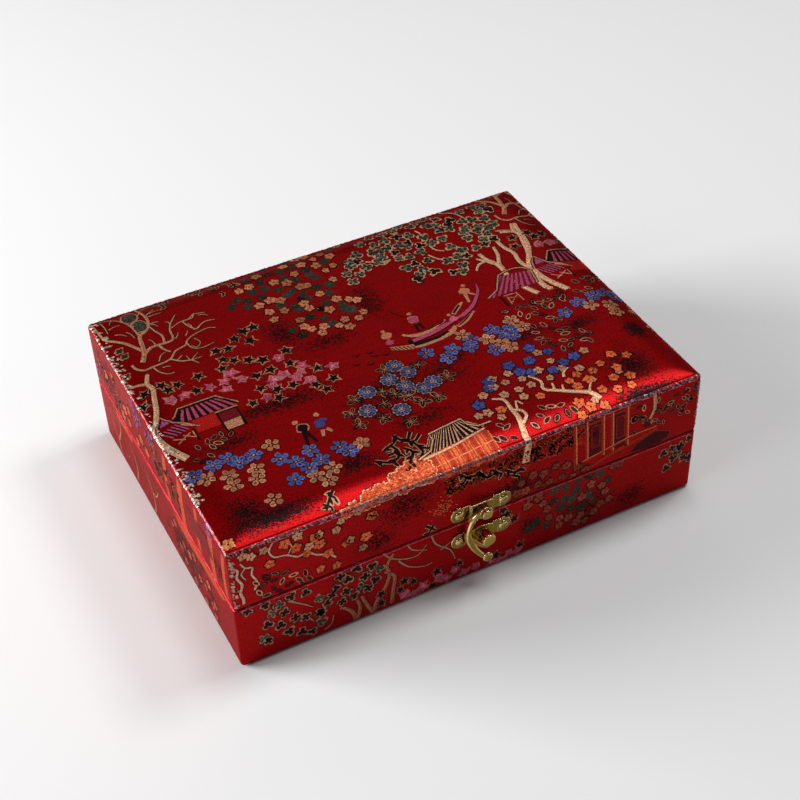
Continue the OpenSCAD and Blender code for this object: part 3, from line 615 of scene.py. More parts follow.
def left_scene(f, du, dv):
    """The bare tree, the hut, the blossoms and the stars, which the weave repeats."""
    o = np.array([du, dv])

    def b(points, start, end, **more):
        f.branch(np.asarray(points, float) + o, start, end, **more)

    b([(5.9, 98.5), (3.2, 92), (1.1, 85.5), (0.6, 79), (2.6, 73), (5.2, 67), (7, 60), (8.5, 54.5), (7.6, 50.5), (9.6, 45.5)], 2.9, 1.7, colour=CREAM)
    b([(7.2, 50.5), (4, 48.5), (0.6, 47)], 1.6, 1.1)
    b([(10.6, 37.5), (12.6, 34), (13.6, 30.5), (14.2, 27), (15.3, 21.4), (19, 18.8), (21.4, 14.8), (21.7, 10), (20.8, 4.5), (20, 0), (20, -4)], 2.3, 0.8)
    b([(11, 37.4), (13, 33.4), (16.4, 30.6), (20, 30.2), (24.6, 30.6), (26.8, 29), (27.4, 23.6), (29.4, 19.4), (32.8, 15.2)], 2.0, 0.5)
    b([(13.4, 31.4), (11.2, 27.2), (8.6, 22.4), (4.4, 17), (2.4, 13.8), (1.6, 7), (1.2, 2)], 1.7, 0.8)
    b([(15.2, 20.8), (14.4, 13.4), (11.6, 7.2), (8, 3.2), (4, 1.4)], 1.1, 0.5)
    b([(14.4, 12.8), (19.2, 7.4), (21.6, 3.6)], 0.9, 0.5)
    b([(22.6, 30.2), (23.4, 25.4), (21.8, 20.8), (20.8, 16.2)], 1.2, 0.6)
    b([(6.4, 36.4), (7.2, 40), (9.8, 42.6), (13.4, 42.2), (20.6, 41.4), (24.6, 37.4), (29.4, 36), (31, 33.6), (33.6, 31.8), (37.4, 30.6), (41.6, 30), (44.2, 31.4)], 1.2, 0.5)
    b([(36.8, 28.6), (34.6, 24), (33.4, 20.6), (28.2, 22.8)], 1.0, 0.5)
    b([(34, 20.6), (38.2, 20.6), (40, 18.6), (44.2, 19.7)], 0.8, 0.4)
    b([(37.4, 28.4), (41.6, 25.4), (46, 26)], 0.9, 0.4)
    b([(20, 30.4), (21.2, 34.6), (22.8, 36.8)], 1.3, 0.8)
    b([(13.2, 42.6), (14.2, 46.2), (16.6, 49.2), (19.4, 49.8)], 0.9, 0.4)
    b([(21.2, 41.4), (24.6, 44.8), (28, 46), (30, 49.2)], 1.0, 0.5)
    b([(28, 46), (32, 42.8)], 0.6, 0.3)
    b([(28.4, 46), (32.6, 46)], 0.6, 0.3)
    b([(27.6, 45.6), (27.2, 42.4)], 0.6, 0.3)
    b([(30.4, 33.8), (31, 38.6), (34.4, 40.8), (40, 40)], 0.7, 0.4)
    b([(34, 33.6), (35.4, 37), (33.2, 39.4), (31.4, 37.6)], 0.5, 0.4)
    b([(16.6, 40.2), (18.6, 37), (21, 36)], 0.6, 0.4)
    for p, q in (((21.4, 10), (26.6, 6)), ((22, 10.8), (28.6, 10.8)), ((22.8, 8.8), (28.6, 8)), ((21.6, 15.6), (25.4, 16)), ((22, 16), (24, 18.8)), ((22, 2.8), (26.8, 2)), ((4.2, 3), (4.8, 12)), ((5.8, 10), (10.6, 10)), ((6.8, 14.8), (10.8, 18.6)), ((11.4, 16), (13.2, 21.4)), ((9, 3), (7, 7)), ((37, 20.4), (40, 18)), ((41.4, 20), (44.6, 22)), ((27.6, 30), (29.8, 26.8)), ((31.6, 30.4), (33.4, 27.8)), ((36, 26.6), (35.2, 23.4)), ((19, 30), (17.8, 25)), ((16.4, 44.6), (19.6, 45.6)), ((23.4, 43), (26, 41.2)), ((29, 19.8), (27.6, 17.4))):
        b([p, ((p[0] + q[0]) / 2 + 0.4, (p[1] + q[1]) / 2 - 0.3), q], 0.65, 0.35)
    for p, rr in (((15.7, 6.7), 3.2), ((17.7, 15), 2.8)):
        f.edged(np.array([p]) + o, rr, 3, -0.06, 1.6, MOSS, TAN, border=0.5, stretch=1.35)
        f.dots(np.array(p) + o + (rng.random((60, 2)) - 0.5) * (4.4, 6.2), 0.5 + 0.3 * rng.random(60), shades(GREEN, 120, 0.4), 0.1)
    for p in ((5, 25), (5.8, 29.4), (2.4, 40.6)):
        f.edged(np.array([p]) + o, 1.7, 4, -0.4, 0.3, MOSS, TAN, border=0.5)
    ink = [(38.7, 45.7), (43.3, 46.7), (48, 42), (53.3, 39.3), (57.7, 38.7), (53.3, 46.3), (26.7, 56.7), (12, 54.7), (17.7, 57.3), (13.3, 58.7), (36.7, 57), (39, 52), (42.7, 54.7), (47.7, 57.3), (52.7, 60), (63, 59), (23, 64.7), (47, 68), (53, 67), (61.3, 67.3), (45.3, 76), (69.5, 75.7), (39, 82.7), (49.3, 84.7), (50.7, 79.7), (57, 80.3), (64.7, 84.7), (72.3, 84.7), (67.3, 89.3), (4.4, 55), (2, 61)]
    stars(f, at(ink, du, dv))
    rose = [(12, 64.7), (17.7, 64.7), (28.3, 65), (34.7, 64.3), (38.3, 61.3), (41, 66.7), (33.3, 69.3), (58.7, 62), (52, 73.3), (56.3, 72), (65, 70.7), (62.7, 74.7), (64, 81.3), (75.3, 77.7), (45.3, 82.3), (60, 77), (50, 76)]
    pink_stars(f, at(rose, du, dv))
    # the hut
    o2 = (du, dv)
    f.patch(at([(10.5, 80.2), (8.7, 76.2), (12.4, 71), (28, 71), (34.4, 79)], *o2), INK, 0.05)
    striped_roof(f, at([(8.8, 76), (12.4, 70.8), (28, 70.8), (34.6, 79.2)], *o2), at([(10.6, 80), (33.2, 80)], *o2), at([(13.4, 72.2), (27.6, 72.2)], *o2), 8, PINK)
    f.ribbon(at([(10.4, 80.2), (13, 82.4), (16.6, 84.6)], *o2), [1.0, 0.9, 0.5], TAN, 0.12, 2)
    f.ribbon(at([(24, 80.8), (33.4, 80.8)], *o2), [0.7, 0.7], TAN, 0.12, 1)
    f.patch(at([(14.6, 80.6), (24, 80.6), (24, 88), (14.6, 88)], *o2), SCARLET, 0.06)
    f.patch(at([(24.2, 81.2), (33, 81.2), (33, 92.6), (24.2, 92.6)], *o2), INK, 0.06)
    f.patch(at([(25, 82), (32.2, 82), (32.2, 87), (25, 87)], *o2), (0.16, 0.008, 0.015), 0.08)
    f.patch(at([(25, 87.4), (32, 87.2), (31.6, 92), (25, 92.2)], *o2), TAN, 0.08)
    striped_roof(f, at([(1.2, 79.4), (2.4, 75), (5, 71.2), (8.2, 77.6), (13.4, 81.6), (16, 84.6)], *o2), at([(5.2, 85.2), (12.6, 84.6)], *o2), at([(1.8, 79.8), (8.6, 79)], *o2), 5, PINK)
    f.patch(at([(3.2, 76.8), (5.2, 72.6), (7.6, 77)], *o2), MAUVE, 0.06)
    for p, q in (((5, 86), (9, 89)), ((6, 89.6), (12, 86.4)), ((9, 86.4), (12.6, 89.6)), ((13, 86), (13, 90))):
        f.ribbon(at([p, q], *o2), [0.6, 0.5], TAN, 0.07, 1)
    f.patch(at([(13.2, 85), (14, 85), (14, 92), (13.2, 92)], *o2), INK, 0.06)
    seeds(f, at([(11.3, 95.7), (15.7, 94.3), (18.7, 93.3), (21.7, 93), (25, 94.7), (21.7, 96), (19, 97), (16.3, 98), (8.4, 101.6), (14, 102), (11, 103.6)], *o2))
    # blossoms below it
    blossoms(f, at([(4.6, 108.4), (12.4, 107.6), (18.6, 106.8), (27.8, 109.6), (21.6, 110.6), (35.8, 116.4), (40, 120.6), (47, 117.6), (48.6, 124), (57.6, 121.2), (36, 129), (43, 126), (60, 125)], *o2))
    tan_blossoms(f, at([(35.6, 107.8), (15.8, 115.4), (25.6, 117.2), (15.2, 120.8), (24, 121.8), (25, 134.6), (43.4, 131), (50.4, 130.4), (65.6, 123.2), (46.4, 135.4), (8, 112.6)], *o2))


def lid_figure():
    """The whole landscape of the lid: its top and its four walls."""
    f = Figure()
    # shading drifts first, under everything
    for c in ((66, 48, 7, 10, 420), (106, 46, 7, 12, 420), (80, 62, 12, 5, 260), (47, 88, 22, 5, 700), (22, 99, 12, 5, 300), (14, 135, 7, 7, 420), (22, 142, 16, 4, 900), (58, 132, 10, 5, 350), (88, 104, 16, 10, 600), (112, 103, 10, 7, 300), (178, 134, 9, 9, 700), (192, 116, 4, 5, 300), (150, 98, 12, 5, 280), (174, 102, 9, 4, 240), (120, 96, 12, 4, 200), (92, 122, 14, 5, 260), (175, 148, 14, 3, 500)):
        f.cloud(*c)
    left_scene(f, 0, 0)
    left_scene(f, 176.7, -18.4)
    # two walkers
    f.blades([(48.4, 101)], 1.2, 3, -0.1, 0, TAN, 0.09)
    f.edged([(49.8, 105)], 2.3, 4, -0.15, 0.4, INK, TAN, border=0.5)
    f.ribbon([(49.4, 107), (47.8, 114.6)], [1.8, 1.2], INK, 0.07, 1)
    f.ribbon([(50, 107), (51.6, 114.6)], [1.6, 1.1], INK, 0.07, 1)
    f.blades([(57.4, 100.6)], 1.2, 3, -0.1, 0, TAN, 0.09)
    f.blades([(56.4, 106)], 2.5, 4, -0.2, 0.2, BLUE, 0.09, stretch=0.85)
    f.ribbon([(57.4, 103.6), (60, 105)], [1.6, 1.0], BLUE, 0.09, 1)
    f.ribbon([(56, 109.6), (54.8, 113)], [1.6, 1.2], TAN, 0.08, 1)
    f.ribbon([(57.6, 109.6), (59, 112)], [1.6, 1.1], TAN, 0.08, 1)
    # dark sprigs at the back
    coral(f, [[(29, 0), (30.5, 4), (33, 2)], [(30.5, 4), (31, 7.4)], [(34, 0), (33, 5)], [(42, 3.2), (44, 0)], [(46, 2), (48, 5.6)], [(48.6, 1), (46.6, 4)], [(52, 1.4), (54, 5)], [(56, 2.4), (55.6, 5.4)], [(58, 1.6), (61, 5)], [(60, 8.4), (62.6, 7)], [(62, 4), (62.4, 9)], [(55, 9.8), (56, 11.4)]], 1.1)
    # the flowering bush
    posies(f, [(93, 1.3), (96.7, 2.3), (85.7, 5.3), (92.7, 8.7), (99.3, 7.3), (62.3, 13.3), (67, 12.7), (77.3, 15), (87.3, 13.7), (98, 12.7), (82, 18), (85.7, 23.3), (88.7, 24), (100.3, 18), (65.7, 26.7), (71, 25.7), (74.7, 27.7), (67.7, 32.7), (73.3, 35), (67.3, 38.3), (90.7, 32), (82.3, 34.7), (83, 38.7), (95.3, 38.7), (76.3, 44), (89.7, 43.7), (76, 48.7), (78, 51.7), (83, 52.7), (80.7, 56), (92.3, 52.7), (88.7, 55.3), (92, 58), (97.7, 54.7), (100, 41.3), (72.7, 6.7), (104, 4.7), (106.7, 9), (105, 16.3), (100.3, 25.3), (103, 43.3), (101.7, 52), (113.3, 1.3)], GOLD)
    tufts(f, [(67.3, 6.7), (72.7, 4), (77.3, 7.3), (82.7, 8.7), (88, 8.7), (92, 5.7), (72.3, 12), (66.7, 16.7), (59, 18.7), (72, 17.3), (82.3, 14.7), (92.7, 13.3), (86, 18), (55.3, 22), (62.7, 21.3), (68.7, 22), (76.7, 20.7), (92.7, 17.3), (94.3, 20.7), (61.3, 25.3), (78.7, 26), (81.3, 24.7), (91.3, 26.7), (85.3, 28), (78, 34.5), (73.3, 31), (82.7, 31), (94, 33.3), (85.3, 32.7), (78.7, 37.3), (90.3, 38.7), (80.7, 44), (86.7, 41.3), (95.7, 43.3), (70.7, 48.7), (85.3, 48), (95.3, 46.7), (73.3, 53.3), (86.7, 52.7), (109, 3), (103, 12.3), (98, 48), (88, 1.5), (78, 2), (97, 28)])
    # the ivy tree
    leaves = [(128, 3.7), (133.7, 5), (122, 7.7), (126.7, 11.7), (132, 11), (138.7, 5), (143.3, 1.7), (147.3, 6), (150.7, 4), (156, 3), (159.3, 7), (171.7, 7), (178, 6.3), (182, 7.3), (138, 11), (143, 12.7), (153.3, 10), (156.3, 12), (164, 11.3), (178.7, 11.3), (116.7, 14.3), (112.3, 17.7), (114.7, 19), (123.7, 16.3), (127.3, 17), (130.7, 16.3), (136, 17.3), (140.3, 17.3), (148, 17.3), (156.7, 16), (160.7, 17.3), (162, 14.3), (168.7, 15), (172.7, 16), (178, 17.7), (183.3, 12.7), (111, 20.7), (107.3, 25), (122.7, 24), (125.3, 21.3), (132, 21.3), (138.7, 20), (144, 22), (149.3, 22.7), (154.7, 22), (165.3, 22.7), (167.3, 20), (172.7, 22), (179.3, 23), (112.3, 27.7), (116.7, 24.7), (131.7, 26), (136, 27), (142, 26.3), (164.3, 27.3), (170.7, 24.7), (176, 25), (155, 29), (107.3, 31), (131.3, 33.7), (135.7, 32.7), (141.3, 33.3), (158, 33.7), (173.3, 28.7), (170, 31.3), (168.7, 35), (174, 33.3), (164, 35.3), (136.7, 38), (149, 37.7), (154.3, 37), (157.7, 38.3), (133.7, 40.7), (140.3, 41.7), (132, 43.3), (147, 46), (153.3, 43.3), (150.7, 47.3)]
    for p in ([(143.6, 30), (146, 34.6), (149, 36)], [(147.3, 24), (148, 28), (151, 30.6)], [(118, 21), (124, 24.6), (128, 25)], [(147, 11), (148, 15), (146, 20)], [(164, 1), (168, 6), (170, 12)], [(124, 27), (128, 25)]):
        f.branch(p, 0.9, 0.7, CREAM)
    f.branch([(162.7, 40), (163.4, 44.6), (165.6, 50), (166, 55.4), (165.4, 61.4), (167, 68), (170.6, 76.7)], 1.8, 2.6, CREAM)
    f.branch([(160, 42.6), (162.6, 46), (165.4, 50)], 1.2, 1.6, CREAM)
    f.branch([(170.6, 38.6), (169.4, 44.6), (166.8, 50), (166.4, 54)], 1.4, 2.0, CREAM)
    f.branch([(156, 50), (158.6, 46.8), (162, 46)], 1.0, 1.4, CREAM)
    f.branch([(174, 36), (174.4, 41.4), (176, 46.6), (175, 53), (176, 58)], 1.8, 2.0, CREAM)
    f.branch([(187.4, 27.4), (186.2, 33.4), (185.4, 40), (183.4, 46.6), (179, 54), (176, 60), (175.2, 66.7), (175.4, 73.4), (176.8, 76.8)], 1.8, 2.8, CREAM)
    f.branch([(178.6, 30.6), (182.6, 32.2), (186, 34.8)], 1.6, 1.2, CREAM)
    ivy(f, leaves)
    # the fan roof behind its trunks
    striped_roof(f, [(150.6, 69.4), (156.6, 66), (160, 60.6), (162, 57.4), (166, 56.2), (170, 56), (173.6, 57.4), (176, 60.6), (174, 69.6)], [(152, 70), (173.4, 69.4)], [(162.4, 58), (175, 60.6)], 8, PINK, (0.16, 0.01, 0.03))
    f.patch([(155, 70.6), (156, 70.6), (156, 79), (155, 79)], INK, 0.06)
    for p, q in (((157, 71), (162, 71.4)), ((158, 72), (157.4, 78)), ((162.6, 71), (163, 78)), ((158.6, 73), (162, 75)), ((158, 77), (162, 73))):
        f.ribbon([p, q], [0.6, 0.5], TAN, 0.07, 1)
    # boats
    f.ribbon([(108.6, 79.2), (111.4, 79.8), (118.7, 79), (125.4, 77.4), (130.6, 75.6), (136, 74), (142, 70.8), (146.6, 66.4), (149.8, 62), (151, 57.6)], [3.0, 3.2, 3.2, 3.0, 3.2, 2.8, 2.4, 2.2, 1.6, 0.8], DARK, 0.05)
    f.ribbon([(110.6, 79.6), (118.7, 78.9), (125.4, 77.3), (130.6, 75.5), (136, 73.9), (142, 70.7), (146.6, 66.3), (149.8, 62), (151, 57.8)], [1.8, 2.2, 2.2, 2.4, 2.0, 1.7, 1.5, 1.1, 0.5], PINK, 0.09)
    f.ribbon([(108.6, 73.4), (111.6, 76.4), (116, 77.4), (122, 76.4), (128.4, 73)], [1.2, 1.8, 1.8, 1.4, 0.8], TAN, 0.08)
    f.ribbon([(119, 76.1), (123.6, 75.1), (127.6, 73.3)], [0.7, 0.8, 0.6], INK, 0.11)
    f.ribbon([(100.4, 79.4), (105.4, 81.6), (112, 83.2), (120, 83.2), (127, 81.8), (130, 79.2)], [2.0, 2.6, 2.8, 2.8, 2.6, 1.4], TAN, 0.06)
    f.ribbon([(109.8, 82.2), (115, 82.4), (121, 82.2), (126, 80.8)], [1.5, 1.7, 1.7, 1.3], INK, 0.09)
    for i in range(6):
        f.ribbon([(101 + 1.5 * i, 79.2 + 0.5 * i), (102 + 1.5 * i, 82 + 0.4 * i)], [0.5, 0.4], DARK, 0.1, 1)
    f.ribbon([(130.8, 80.2), (136.4, 77.8), (141.4, 73.8)], [1.8, 1.8, 1.2], TAN, 0.06)
    f.ribbon([(131.4, 79.8), (136.2, 77.4), (140.6, 74)], [0.6, 0.7, 0.4], INK, 0.1)
    f.ribbon([(133, 71.4), (138, 67.4), (140, 66.2)], [2.0, 1.8, 0.8], TAN, 0.05)
    f.ribbon([(133.4, 70.8), (138, 67.2)], [1.0, 0.9], INK, 0.09, 1)
    f.blades([(131.6, 74.4)], 2.2, 5, -0.3, 0.5, ROSE, 0.11, ragged=0.15)
    f.blades([(131, 71)], 0.9, 3, -0.1, 0, TAN, 0.11)
    f.blades([(117.2, 62.6)], 1.0, 3, -0.1, 0, TAN, 0.1)
    f.edged([(117, 66.6)], 2.2, 4, -0.2, 0.3, PINK, TAN, border=0.35)
    f.ribbon([(116.2, 70), (115.6, 74.6)], [1.6, 1.0], INK, 0.08, 1)
    f.ribbon([(117.8, 70), (118.4, 74.2)], [1.4, 0.9], INK, 0.08, 1)
    f.ribbon([(111, 57.4), (114.8, 63.6)], [0.4, 0.4], INK, 0.08, 1)
    f.blades([(145.8, 56.4)], 1.0, 3, -0.1, 0, TAN, 0.1)
    f.edged([(144.4, 60)], 2.2, 4, -0.25, 0.9, GOLD, TAN, border=0.4)
    f.ribbon([(143.6, 62.4), (142.6, 67.6)], [1.7, 1.1], TAN, 0.09, 1)
    f.ribbon([(145.4, 62), (147.4, 64.4)], [1.2, 0.8], TAN, 0.09, 1)
    f.edged([(102.8, 70.8)], 1.9, 4, -0.2, 0.5, GOLD, TAN, border=0.5)
    f.blades([(102.6, 67.8)], 0.9, 3, -0.1, 0, TAN, 0.1)
    f.blades([(102, 75.6)], 2.1, 5, -0.3, 0.5, PINK, 0.08, ragged=0.15)
    # birds
    for p in ((86.4, 76.8), (84, 82), (89, 84.4), (92.6, 80.6), (97, 81.8), (91.8, 77.8)):
        f.ribbon([(p[0] - 1.7, p[1] - 0.9), (p[0], p[1] + 0.4), (p[0] + 1.6, p[1] - 0.5)], [0.3, 1.0, 0.3], INK, 0.05, 2)
    # daisies and their leaves
    leaf_tufts(f, [(74, 100.4), (85.4, 101), (69.4, 106.8), (82.8, 107.4), (69.4, 113.6), (78.8, 114.8), (86.8, 121.6), (88.8, 104.8), (93, 108), (96.2, 113.4), (92, 90), (105.4, 93.4), (112.4, 105), (103.4, 114), (95, 100)])
    daisies(f, [(80, 98.7), (90.7, 96.3), (96.3, 89.7), (99.6, 95.7), (94.4, 102.7), (75.4, 108.4), (87, 114), (100.6, 107), (106, 105.3)])
    # separate blossoms to the right
    blossoms(f, [(111.8, 88.8), (117.6, 95.6), (121.8, 91.8), (128.6, 94), (131, 90.4), (141.6, 88.6), (145, 93.6), (136.6, 100.4), (148, 91.8), (173, 93.4), (147.2, 95.6)])
    tan_blossoms(f, [(129.6, 85.8), (137, 93), (141, 98.4), (151.4, 87), (153.6, 92.8), (142.8, 101.6)])
    seeds(f, [(152, 81), (158, 81.3), (161.3, 81.7), (165.3, 81), (167.3, 82.7), (170.7, 80.7), (171, 82.7), (174, 83.7), (176.3, 81.3), (178.7, 80.3), (178, 84), (176.7, 85.3), (168, 86), (170.7, 86.7), (163.7, 84.7), (158.7, 88.3), (162.3, 88), (164.3, 89.7), (156.7, 85.3), (166, 93.3), (169, 95.7), (167, 96), (157.3, 94.7), (161.3, 96), (156, 98.7), (163, 99.3), (155.3, 102.7), (158, 105), (165, 102.3), (167.7, 102), (166, 105), (155.3, 105.7), (158, 108.7), (163, 108.3), (166, 109.3), (169.3, 108.7), (172.7, 106.7), (174.7, 108.7), (160.3, 112.7), (163, 114.7), (170.7, 112), (172.3, 113.3), (164, 112), (172, 110)], (0.40, 0.20, 0.11))
    # the dark shrub
    coral(f, [[(77.4, 125.4), (79.4, 129.4), (82.6, 132.6), (83.4, 138.6)], [(84, 126.6), (81.4, 130)], [(86.6, 129.4), (83.4, 132)], [(70.6, 131.4), (74, 130), (75.4, 134), (73.4, 137.4)], [(65.4, 134.6), (69.4, 137.4), (72, 138.6)], [(78, 133.4), (80, 136.6), (77.4, 140), (75.4, 143.4)], [(83.4, 136), (86.4, 138)], [(71, 134), (74, 134)]], 1.35)
    # the blossom tree
    f.branch([(120.6, 125.4), (124.4, 127.8), (124.2, 134), (124.2, 139), (122.6, 146), (121.6, 152), (120.6, 160)], 1.0, 3.2, CREAM)
    f.branch([(124.6, 134.6), (127.2, 136.4), (127.4, 139.6), (124.4, 142.4)], 1.4, 1.2, CREAM)
    f.branch([(126, 135.4), (128, 130.6), (129.4, 133.4)], 0.9, 0.7, CREAM)
    f.branch([(139.6, 120.4), (142.2, 125.4), (140.8, 130), (144.8, 133), (149.4, 136.2), (155.4, 140), (157.4, 144.2)], 0.9, 2.4, CREAM)
    f.branch([(144.4, 132), (145.4, 128.4)], 1.2, 0.8, CREAM)
    f.branch([(147.2, 134), (148.4, 131.2)], 1.1, 0.7, CREAM)
    f.branch([(155.6, 139.4), (157.8, 136.2), (159.4, 135)], 1.0, 0.6, CREAM)
    f.branch([(151.4, 127.6), (152.6, 125.2), (155.8, 123.4)], 1.2, 0.7, CREAM)
    posies(f, [(136, 111.3), (144.7, 112.7), (154, 111.3), (138, 116.7), (148.7, 106), (142, 119.3), (156, 120), (161.4, 118.7), (124.7, 116), (122.7, 119.4), (114.4, 126), (150, 122)], BLUE, 2.5, NAVY)
    posies(f, [(126.4, 115.3), (133.4, 115.3), (150, 110), (130, 119.4), (124.7, 119.4), (118.7, 122), (152, 116.7), (166.7, 117.7), (144.7, 119.4), (126, 125.4), (132.4, 125.4), (138, 125.4), (146.4, 125.4), (153.4, 122.7), (111.4, 131.4), (115.4, 131.4), (132, 130), (118.7, 136), (159.4, 126), (136.7, 120.7)], TAN, 2.0)
    posies(f, [(120.7, 132.4), (137.7, 132.7), (152, 130.7), (156.4, 128.7), (163, 129.7), (168, 127.4), (174.7, 124.7), (179.7, 128), (153, 134.7), (159, 133.4), (172.4, 132.4), (168, 137), (174.4, 139), (160.4, 140.7), (148.7, 142.7), (152, 146), (157.4, 147.4), (172, 143.4), (166, 143), (147, 148)], ORANGE, 2.15)
    posies(f, [(163.4, 129.7), (160.4, 134.4), (171.6, 135), (155, 144)], TAN, 1.6)
    seeds(f, [(116, 139.7), (117.7, 141.4), (134.7, 138.7), (138, 139.7), (141.7, 140.7), (132, 142), (111.4, 144.7), (114, 145.4), (128, 145), (133.4, 144.7), (137.4, 145.4), (142.4, 145), (145.4, 144.7), (118, 146.7)], TAN, 1.05)
    front_wall(f)
    other_walls(f)
    # painted highlight: pale lozenges scattered along the lid's top edges
    f.painted_edge_glints(1300)
    # painted highlight just below the lid's front top edge
    f.painted_rim_highlight(3 + 194 * rng.random(90), np.full(90, DEEP), 0.0, (0.72, 0.10, 0.14), 0.95)
    f.corner_line(1.0, DEEP + 1, DEEP + 27, 60, (0.46, 0.30, 0.23), 0.9)
    f.corner_line(LONG - 0.6, DEEP + 2, DEEP + 26, 40, (0.30, 0.16, 0.12), 0.5)
    # flecks along the left top edge: the pale ones, brighter than the cream thread, are a painted highlight where the
    # pattern's cream threads glint; the grey-green ones follow the pattern
    near = np.stack([3.4 * rng.random(150) ** 1.6, 2 + 120 * rng.random(150)], -1)
    f.dots(near, 0.6 + 0.7 * rng.random(150), shades((0.72, 0.58, 0.46), 300, 0.2), 0.15)
    f.dots(near[::3] + 0.5, 0.7 + 0.7 * rng.random(50), shades((0.16, 0.24, 0.17), 100, 0.3), 0.14)
    return f


